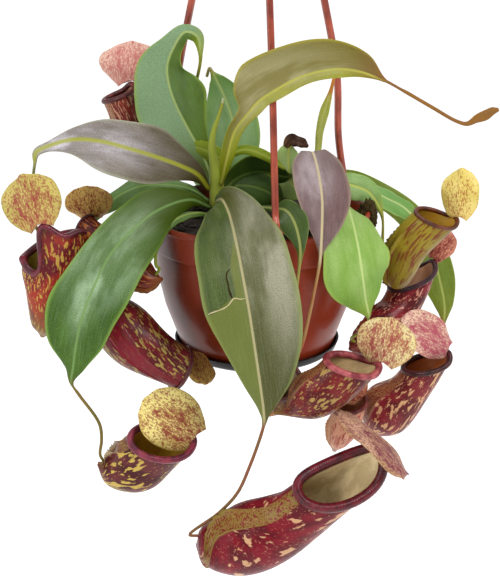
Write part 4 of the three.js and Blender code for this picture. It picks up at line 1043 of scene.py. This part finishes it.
def leafFinish(name, ownLook):
    look = {**plainLook, **ownLook}
    finish = Finish(name, Specular_IOR_Level=look["gloss"])
    across, along, top = finish.parts(finish.attribute("flat"))
    side, share, tendril = finish.parts(finish.attribute("place"))
    where = finish.vector(across, along, top * 0.003)
    cloud = finish.grain(where, (90, 40, 90), 4, 0.6)
    patch = finish.grain(where, (60, 24, 60), 3, 0.6)
    thread = finish.grain(where, (1900, 45, 90), 2)
    pore = finish.grain(where, (1500, 1300, 300), 2)
    paint = finish.over(look["base"], look["light"], cloud, 0.32, 0.7)
    if "half" in look:  # one half of the blade has a colour of its own
        paint = finish.blend(1 - finish.step(side, -0.06, 0.02), paint, look["half"])
    # A painted highlight: the sheen colour laid on a patch centred at lean across and at along the blade,
    # out to reach
    lean, at, reach = look["bloom"]
    bloom = 1 - finish.step(abs(share - at) + abs(side - lean) * 0.25, 0.05, reach)
    bloom = bloom * (0.25 + finish.step(patch, 0.38, 0.62) * 0.75) * look["sheenAmount"]
    paint = finish.blend(bloom, paint, look["sheen"])
    paint = finish.over(paint, look["sheen"], thread, 0.45, 0.75, 0.1)
    paint = finish.over(paint, look["base"], pore, 0.45, 0.65, 0.3)
    paint = finish.over(paint, look["sheen"], 0 - pore, -0.45, -0.3, 0.12)
    paint = finish.over(paint, look["edge"], abs(side), 0.86, 1, 0.6)
    paint = finish.blend(1 - finish.step(share, 0.02, look["footReach"]), paint, look["foot"])
    paint = finish.over(paint, look["tip"], share, look["tipFrom"], 1.02, 0.75)
    if "point" in look:
        paint = finish.over(paint, look["point"], share, 0.9, 0.94)
    if "torn" in look:  # lighter olive below the lip, and between the crack and the midrib
        below = finish.step(share - side * 0.06, 0.543, 0.549)
        beside = (1 - finish.step(side, 0.2, 0.26)) * finish.step(share - side * 0.4, 0.38, 0.4)
        piece = finish.step(side, 0.03, 0.06) * (below + beside - below * beside)
        paint = finish.blend(piece * 0.6, paint, look["torn"])
    ribWidth = look["ribWidth"] / 1000
    vein = (1 - finish.step(abs(across), ribWidth * 0.3, ribWidth * 1.1)) * (1 - tendril)
    paint = finish.blend(vein * 0.85, paint, look["rib"])
    paint = finish.over(paint, look["sheen"], 0 - top, -0.3, 0.3, 0.25)
    stalk = finish.over(look["tendril"], look["tip"], cloud, 0.35, 0.65, 0.5)
    paint = finish.blend(tendril, paint, stalk)
    finish.feed("Base Color", paint)
    finish.feed("Roughness", 0.33 + cloud * 0.18)
    finish.bump(thread * 0.6 + cloud * 1.6 + pore * 0.7, 0.0006, 0.5)
    return finish


def cupFinish(name, look):
    finish = Finish(name, Coat_Weight=0.05, Coat_Roughness=0.2, Specular_IOR_Level=0.2)
    flat = finish.attribute("flat")
    front, share, inside = finish.parts(finish.attribute("place"))
    across, along = look["grain"]
    flames = finish.grain(flat, (across, across, along), 2, 0.45, 0.3)
    blotch = finish.grain(flat, (110, 110, 60), 3, 0.6)
    dots = finish.grain(flat, (1300, 1300, 800), 2)
    threshold = 0.85 - 0.28 * look["flames"]
    edge = flames + blotch * 0.25 + dots * 0.12
    paint = finish.over(look["ground"], look["dark"], blotch, 0.4, 0.62)
    paint = finish.over(paint, look["flame"], edge, threshold, threshold + 0.06, 0.9)
    paint = finish.over(paint, look["flame"], dots, 0.63, 0.69, 0.4)
    mottled = finish.over(look["strip"], look["ground"], dots, 0.5, 0.58)
    paint = finish.over(paint, mottled, front, 0.895, 0.91, 0.9)
    paint = finish.over(paint, look.get("wing", look["strip"]), 0 - inside, 0.25, 0.8)
    foot = 1 - finish.step(share, 0.0, look.get("footReach", 0.22))
    paint = finish.blend(foot * 0.7, paint, look["foot"])
    column = (1 - finish.step(front, 0.04, 0.1)) * finish.step(share, 0.85, 0.97)
    paint = finish.blend(column * 0.85, paint, look["dark"])
    within = finish.over(look["inside"], look["strip"], blotch, 0.45, 0.6, 0.35)
    within = finish.over(within, look["ground"], dots, 0.6, 0.7, 0.3)
    paint = finish.over(paint, within, inside, 0.2, 0.6)
    finish.feed("Base Color", paint)
    finish.feed("Roughness", 0.3 + blotch * 0.15)
    finish.bump(flames + blotch * 2, 0.0006, 0.4)
    return finish


rimRibs = {"count": 60, "height": 0.015, "fine": 110, "fineDepth": 0.0002}


def rimFinish(name, look):
    finish = Finish(name, Coat_Weight=0.12, Coat_Roughness=0.15, Roughness=0.3, Specular_IOR_Level=0.35)
    turn = finish.parts(finish.attribute("flat"))[0]  # a thousandth of the angle round the mouth
    patch = finish.grain(finish.inSpace(), (160, 160, 160), 3)
    ridge = finish.add("Math", {"operation": "SINE"}, (turn * (1000 * rimRibs["fine"]),))
    paint = finish.over(look["color"], look["dark"], patch, 0.38, 0.62)
    finish.feed("Base Color", finish.over(paint, look["dark"], ridge, -0.2, 1, 0.3))
    finish.bump(ridge, rimRibs["fineDepth"], 0.4)
    return finish


def lidFinish(name, look):
    finish = Finish(name, Specular_IOR_Level=0.15)
    across, along, top = finish.parts(finish.attribute("flat"))
    side, share, _ = finish.parts(finish.attribute("place"))
    where = finish.vector(across, along, top * 0.002)
    splash = finish.grain(where, (520, 210, 200), 3, 0.55, 0.4)
    cloud = finish.grain(where, (90, 60, 60), 2)
    dots = finish.grain(where, (1300, 700, 300), 2, 0.55, 0.3)
    low = 0.72 - 0.26 * look["splashes"]
    centre = (1 - finish.step(abs(side), 0.3, 1)) * (1 - finish.step(share, 0.3, 0.95))
    middle = centre * 0.1 + cloud * 0.3 - 0.15
    paint = finish.over(look["ground"], look["edge"], cloud, 0.35, 0.7, 0.6)
    paint = finish.over(paint, look["splash"], splash + middle, low, low + 0.1, 0.8)
    paint = finish.over(paint, look["splash"], dots + middle, low - 0.1, low - 0.02, 0.7)
    paint = finish.blend((1 - finish.step(share, 0, 0.4)) * 0.25, paint, look["splash"])
    paint = finish.over(paint, look["edge"], abs(side), 0.9, 1, 0.5)
    finish.feed("Base Color", paint)
    finish.feed("Roughness", 0.38 + cloud * 0.15)
    finish.bump(splash * 0.6 + cloud, 0.0006, 0.4)
    return finish


# Small leaves that stand among the large ones, joined to the inner leaf
oliveLook = {
    **leaves["inner"]["look"], "base": "#5f7208", "light": "#75861a", "sheen": "#8c983c", "edge": "#a3a236",
    "foot": "#66760c", "tip": "#8f9a30", "rib": "#8c983c", "sheenAmount": 0.2,
}
smallLeaves = [
    {"rows": [[-18, -9, 31, 4], [-26, -5, 35.5, 5.2], [-35, -1, 38.5, 5], [-44, 2, 40, 3.6],
              [-53, 5, 40, 1]], "face": (0, -0.94, 0.2), "look": oliveLook},
    {"rows": [[-20, -10, 15, 3], [-12, -6, 16, 8], [-1, -2, 14, 12], [10, 2, 8, 9],
              [17, 4, 1, 1.5]], "face": (0, -0.8, 0.5), "look": leaves["inner"]["look"]},
    {"rows": [[-16, -9, 37, 2.4], [-8, -9, 39.5, 3], [2, -8, 37, 3.2], [10, -6, 32, 2.6],
              [17, -4, 26, 1]], "face": (0, -0.94, 0.3), "look": oliveLook},
]
smallShape = {"hollow": -0.1, "thickness": 0.8, "wave": (0.3, 2, 0)}

# The front leaf is torn: x, z and half width along its crack and its dry lip, as seen from the front. The
# crack's groove walls are painted near black as painted shadow
tear = {
    "front": -118, "fall": -0.39, "crackShadow": "#120c0a", "lipColor": "#cdc298",
    "crack": [(-15.5, -0.3, 0.25), (-16.9, -1.8, 0.4), (-17.6, -4.3, 0.45), (-17.2, -7.2, 0.5),
              (-16.4, -10.1, 0.5), (-16.1, -12.9, 0.55), (-15.1, -15.8, 0.65), (-14.2, -18.4, 0.3)],
    "lip": [(-27.7, -27.5, 0.25), (-25.2, -26.3, 0.4), (-21.9, -25.1, 0.3), (-19.2, -24.0, 0.42),
            (-17.0, -22.5, 0.3), (-15.3, -20.5, 0.38), (-14.0, -18.5, 0.45), (-12.0, -17.9, 0.3),
            (-9.9, -18.4, 0.32), (-6.6, -17.6, 0.15)],
}


def tearFinish(name, color):
    finish = Finish(name, Roughness=0.7, Specular_IOR_Level=0.1)
    grit = finish.grain(finish.inSpace(), (900, 900, 900), 2)
    finish.feed("Base Color", finish.blend(grit * 0.5, color, "#6e5c30"))
    finish.bump(grit, 0.0003, 0.5)
    return finish


def laidOn(piece, name, line, color):  # a rod half sunk into the front of the leaf
    inward = Vector((0, 1, tear["fall"])).normalized()
    rows = []
    for x, z, size in line:
        met, place, _, _ = piece.ray_cast(spot((x, tear["front"], z)), inward)
        if met:
            rows.append([*((place - spot((0, 0, 0))) * 1000), size])
    return painted(rodShape(name, rows, roundOutline, (0, -1, 0.4)), tearFinish(name, color))


def tornOpen(piece):
    lip = laidOn(piece, "tornEdge", tear["lip"], tear["lipColor"])
    # The crack cuts a groove whose walls keep this near-black paint, a painted shadow inside the crack
    cutter = laidOn(piece, "crack", tear["crack"], tear["crackShadow"])
    pick(piece)
    bpy.ops.object.duplicate()
    whole = bpy.context.object
    pick(piece)
    cut = piece.modifiers.new("tear", "BOOLEAN")
    cut.operation = "DIFFERENCE"
    cut.object = cutter
    cut.solver = "EXACT"
    cut.material_mode = "TRANSFER"
    bpy.ops.object.modifier_apply(modifier=cut.name)
    for vertex in piece.data.vertices:  # new points take their place on the leaf from the uncut one
        _, place, _, index = whole.closest_point_on_mesh(vertex.co)
        corners = whole.data.polygons[index].vertices
        shares = poly_3d_calc([whole.data.vertices[i].co for i in corners], place)
        for key in ("flat", "place"):
            values = whole.data.attributes[key].data
            piece.data.attributes[key].data[vertex.index].vector = sum(
                (values[i].vector * share for i, share in zip(corners, shares)), Vector((0, 0, 0)))
    bpy.ops.object.shade_smooth_by_angle(angle=math.radians(50))
    bpy.data.objects.remove(cutter)
    bpy.data.objects.remove(whole)
    return joined(piece.name, [piece, lip])


for name, leaf in leaves.items():
    paint = leafFinish(f"{name.replace('_', ' ')} leaf", leaf["look"])
    piece = painted(bladeShape(camel(f"leaf_{name}"), leaf["rows"], **leaf["shape"]), paint)
    if name == "front":
        piece = tornOpen(piece)
    if name == "inner":
        together = [piece]
        for small in smallLeaves:
            beside = bladeShape("smallLeaf", small["rows"], small["face"], **smallShape)
            together.append(painted(beside, leafFinish("small leaf", small["look"])))
        piece = joined(piece.name, together)
    placed(piece, f"leaf_{name}")
print("leaves made")

stemLook = {
    "base": "#7d8a28", "light": "#8f9a38", "sheen": "#a9ac5c", "sheenAmount": 0.3, "rib": "#8f9a38",
    "edge": "#8f9a38", "foot": "#6a5a28", "tip": "#c4803a", "tendril": "#a5602c",
}
spear = {  # the rolled young leaf on top of the crown
    "rows": [[-26, -14, 31, 3.2], [-27.6, -15, 42, 2.3], [-26.4, -15, 52, 1.7], [-23.4, -15, 61, 1.2],
             [-21.3, -15, 68, 0.9], [-20.6, -15, 72.4, 0.35]],
    "look": {**stemLook, "tip": "#8a4a1c", "tipFrom": 0.6, "point": "#efe4d4"},
}
deadLeaf = {
    "name": "leaf with a dead tip",
    "rows": [[30, 18, 5, 1.3], [26, 15, 8, 8], [21, 13, 15, 11], [20, 12, 26, 9, 10],
             [20, 11, 35, 5, 6], [21, 11, 39, 1.4]],
    "shape": {"hollow": 0.1, "wave": (0.4, 2, 0)},
    "look": {**leaves["right_back"]["look"], "base": "#8aa452", "light": "#a3bd70", "sheen": "#c0d498",
             "foot": "#6c8c3c", "tip": "#a89a5a"},
}
deadTip = {
    "name": "dead leaf tip",
    "rows": [[18, 11, 37, 2], [21, 10, 41, 4], [25, 10, 41, 4, 3], [29, 10, 39, 3],
             [32, 10, 37, 1]],
    "shape": {"hollow": 0.3, "wave": (1.6, 3, 1)},
    "look": {**stemLook, "base": "#2c1a12", "light": "#4a3020", "sheen": "#5c4030", "edge": "#241610",
             "foot": "#6a4a2c", "tip": "#20140e", "rib": "#3a2418"},
}


def stemShape(name, stem, more):
    heights = (-15, 0, stem["top"] - 3)
    rows = [[stem["x"], stem["y"], height, stem["radius"]] for height in heights]
    return rodShape(name, rows + more, roundOutline, (0, -1, 0.1))


stemPaint = leafFinish("stem", stemLook)
crownStem = stemShape("crownStem", crown, spear["rows"])
placed(painted(crownStem, leafFinish("crown stem", spear["look"])), "crown_stem")
shoot = painted(stemShape("sideShoot", sideShoot, [[33, 21, 29, 1.6]]), stemPaint)
parts = [shoot]
for part in (deadLeaf, deadTip):
    piece = bladeShape("deadPart", part["rows"], **part["shape"])
    parts.append(painted(piece, leafFinish(part["name"], part["look"])))
placed(joined("sideShoot", parts), "side_shoot_stem")
print("stems made")


# Pitchers

cupForm = {
    "outerRings": 44, "innerRings": 30, "innerDepth": 0.84, "girth": 12,
    "wingAt": 163, "wingWidth": 1.3, "wingHeight": 1.25, "wingEnd": 0.92,
    "frill": [(0.16, 1.9), (0.1, 4.3)],  # height and how close the waves of a wing's edge are
}
wingDegrees = [155, 159, 161.6, 163, 164.4, 167, 171, 175.5]
cupDegrees = [*range(0, 151, 6), *wingDegrees, 180, *[360 - a for a in reversed(wingDegrees)],
              *range(210, 361, 6)]


def cupShape(name, pitcher):
    frameAt = cupFrames(pitcher)
    outer, inner, depth = cupForm["outerRings"], cupForm["innerRings"], cupForm["innerDepth"]
    shares = [(k / outer, 0) for k in range(outer + 1)]
    shares += [(1 - k / inner * depth, 1) for k in range(inner + 1)]
    rings = []
    length, before = 0, frameAt(0)["centre"]
    for share, within in shares:  # up the outside, then down the inside
        frame = frameAt(share)
        length += (frame["centre"] - before).length * (1 - 2 * within)
        before = frame["centre"]
        frill = 1 + sum(height * math.sin(length * closeness) for height, closeness in cupForm["frill"])
        swell = 0
        if share < cupForm["wingEnd"] and not within:
            swell = math.sin(math.pi * (share / cupForm["wingEnd"])) ** 1.2
        ring = []
        for degrees in cupDegrees:
            angle = math.radians(degrees)
            off = abs(abs(degrees - 180) - (180 - cupForm["wingAt"]))
            crest = math.exp(-(off / cupForm["wingWidth"]) ** 2) * swell
            proud = cupForm["wingHeight"] * pitcher["wing"] * crest * frill - within * pitcher["wall"]
            point = cupPoint(frame, angle, proud, pitcher["neck"])
            flat = (cupForm["girth"] * math.cos(angle), cupForm["girth"] * math.sin(angle), length / 1000)
            ring.append((point, flat, (1 - abs(degrees - 180) / 180, share, within - crest)))
        rings.append(ring)
    return rolled(name, rings)


rimSection = [(-1.8, -1.9), (-2.2, -0.9), (-2.2, 0.3), (-1.8, 1.3), (-1, 2), (0, 2.3), (1, 2.2), (1.9, 1.6),
              (2.5, 0.7), (2.6, -0.4), (2.3, -1.3), (1.8, -1.4), (1.7, -0.5), (1, 0.05), (-0.8, 0.05),
              (-1.4, -0.8), (-1.8, -1.9)]
rimScale = 0.25  # the section above is that of a lip of 4
rimInset = -0.8
rimTop = 2.6

# What a lid has where its own entry says nothing. A lobe reaches back past the hinge.
plainLid = {"arch": 2, "lobe": 0, "clear": 0}
lidForm = {
    # Share of the length and of the half width, from the hinge to the tip
    "outline": [(0, 0.4), (0.06, 0.64), (0.22, 0.91), (0.48, 1), (0.74, 0.88), (0.93, 0.5), (1, 0.1)],
    "gap": 0.6, "lobeGap": 1.1, "sunk": 1.4, "forward": 0.9,
    "notch": 0.24, "notchEnd": 0.36,
    "shape": {"hollow": -0.16, "thickness": 0.8, "rib": -0.3, "finePerRow": 10},
    "waveHeight": 0.9, "waves": 2.2,
}


def rimShape(name, pitcher):
    frame = cupFrames(pitcher)(1)
    scale = pitcher["lip"] * rimScale
    rings = []
    for degrees in range(0, 361, 2):
        angle = math.radians(degrees)
        before, centre, after = [cupPoint(frame, angle + turn, rimInset, pitcher["neck"])
                                 for turn in (-0.02, 0, 0.02)]
        radial = frame["back"] * math.cos(angle) + frame["across"] * math.sin(angle)
        onward = (after - before).normalized()
        out = (radial - onward * radial.dot(onward)).normalized()
        upward = out.cross(onward)
        ridge = 1 + rimRibs["height"] * math.sin(angle * rimRibs["count"])
        rings.append([(centre + out * (reach * scale * ridge) + upward * (height * scale),
                       (angle, 0, 0), (0, 0, 0)) for reach, height in rimSection])
    return rolled(name, rings)


def lidShape(name, pitcher):
    lid = {**plainLid, **pitcher["lid"]}
    frame = cupFrames(pitcher)(1)
    lift = rimTop * pitcher["lip"] * rimScale + lid["clear"]
    lift += lidForm["lobeGap"] if lid["lobe"] else lidForm["gap"]
    if pitcher["plain"]:
        lift -= lidForm["sunk"]
    start = cupPoint(frame, 0, 0, pitcher["neck"]) + frame["normal"] * lift
    end = Vector(lid["tip"])
    start += (end - start).normalized() * (-lid["lobe"] or lidForm["forward"])
    along = end - start
    shown = Vector(lid["face"])
    shown = (shown - along * (shown.dot(along) / along.length_squared)).normalized()
    rows = []
    for place, wide in lidForm["outline"]:
        point = start + along * place + shown * (lid["arch"] * math.sin(math.pi * place))
        rows.append([*point, lid["width"] * wide])

    def notched(side, share):  # the base is notched like a heart
        depth = lidForm["notch"] * lid["width"] * abs(side) ** 1.5
        return -depth * max(0, 1 - share / lidForm["notchEnd"]) ** 1.4

    wave = (lidForm["waveHeight"], lidForm["waves"], lid["width"])
    return bladeShape(name, rows, face=shown, wave=wave, shift=notched, **lidForm["shape"])


for name, pitcher in pitchers.items():
    node, label = f"pitcher_{name}", f"{name.replace('_', ' ')} pitcher"
    cup = painted(cupShape(camel(f"{node}_cup"), pitcher), cupFinish(f"{label} cup", pitcher["cupLook"]))
    rim = painted(rimShape(camel(f"{node}_rim"), pitcher), rimFinish(f"{label} rim", pitcher["rimLook"]))
    lid = painted(lidShape(camel(f"{node}_lid"), pitcher), lidFinish(f"{label} lid", pitcher["lidLook"]))
    placed(cup, f"{node}_cup")
    if pitcher["plain"]:
        placed(joined(camel(f"{node}_rim_and_lid"), [rim, lid]), f"{node}_rim_and_lid")
    else:
        placed(rim, f"{node}_rim")
        placed(lid, f"{node}_lid")
print("pitchers made")
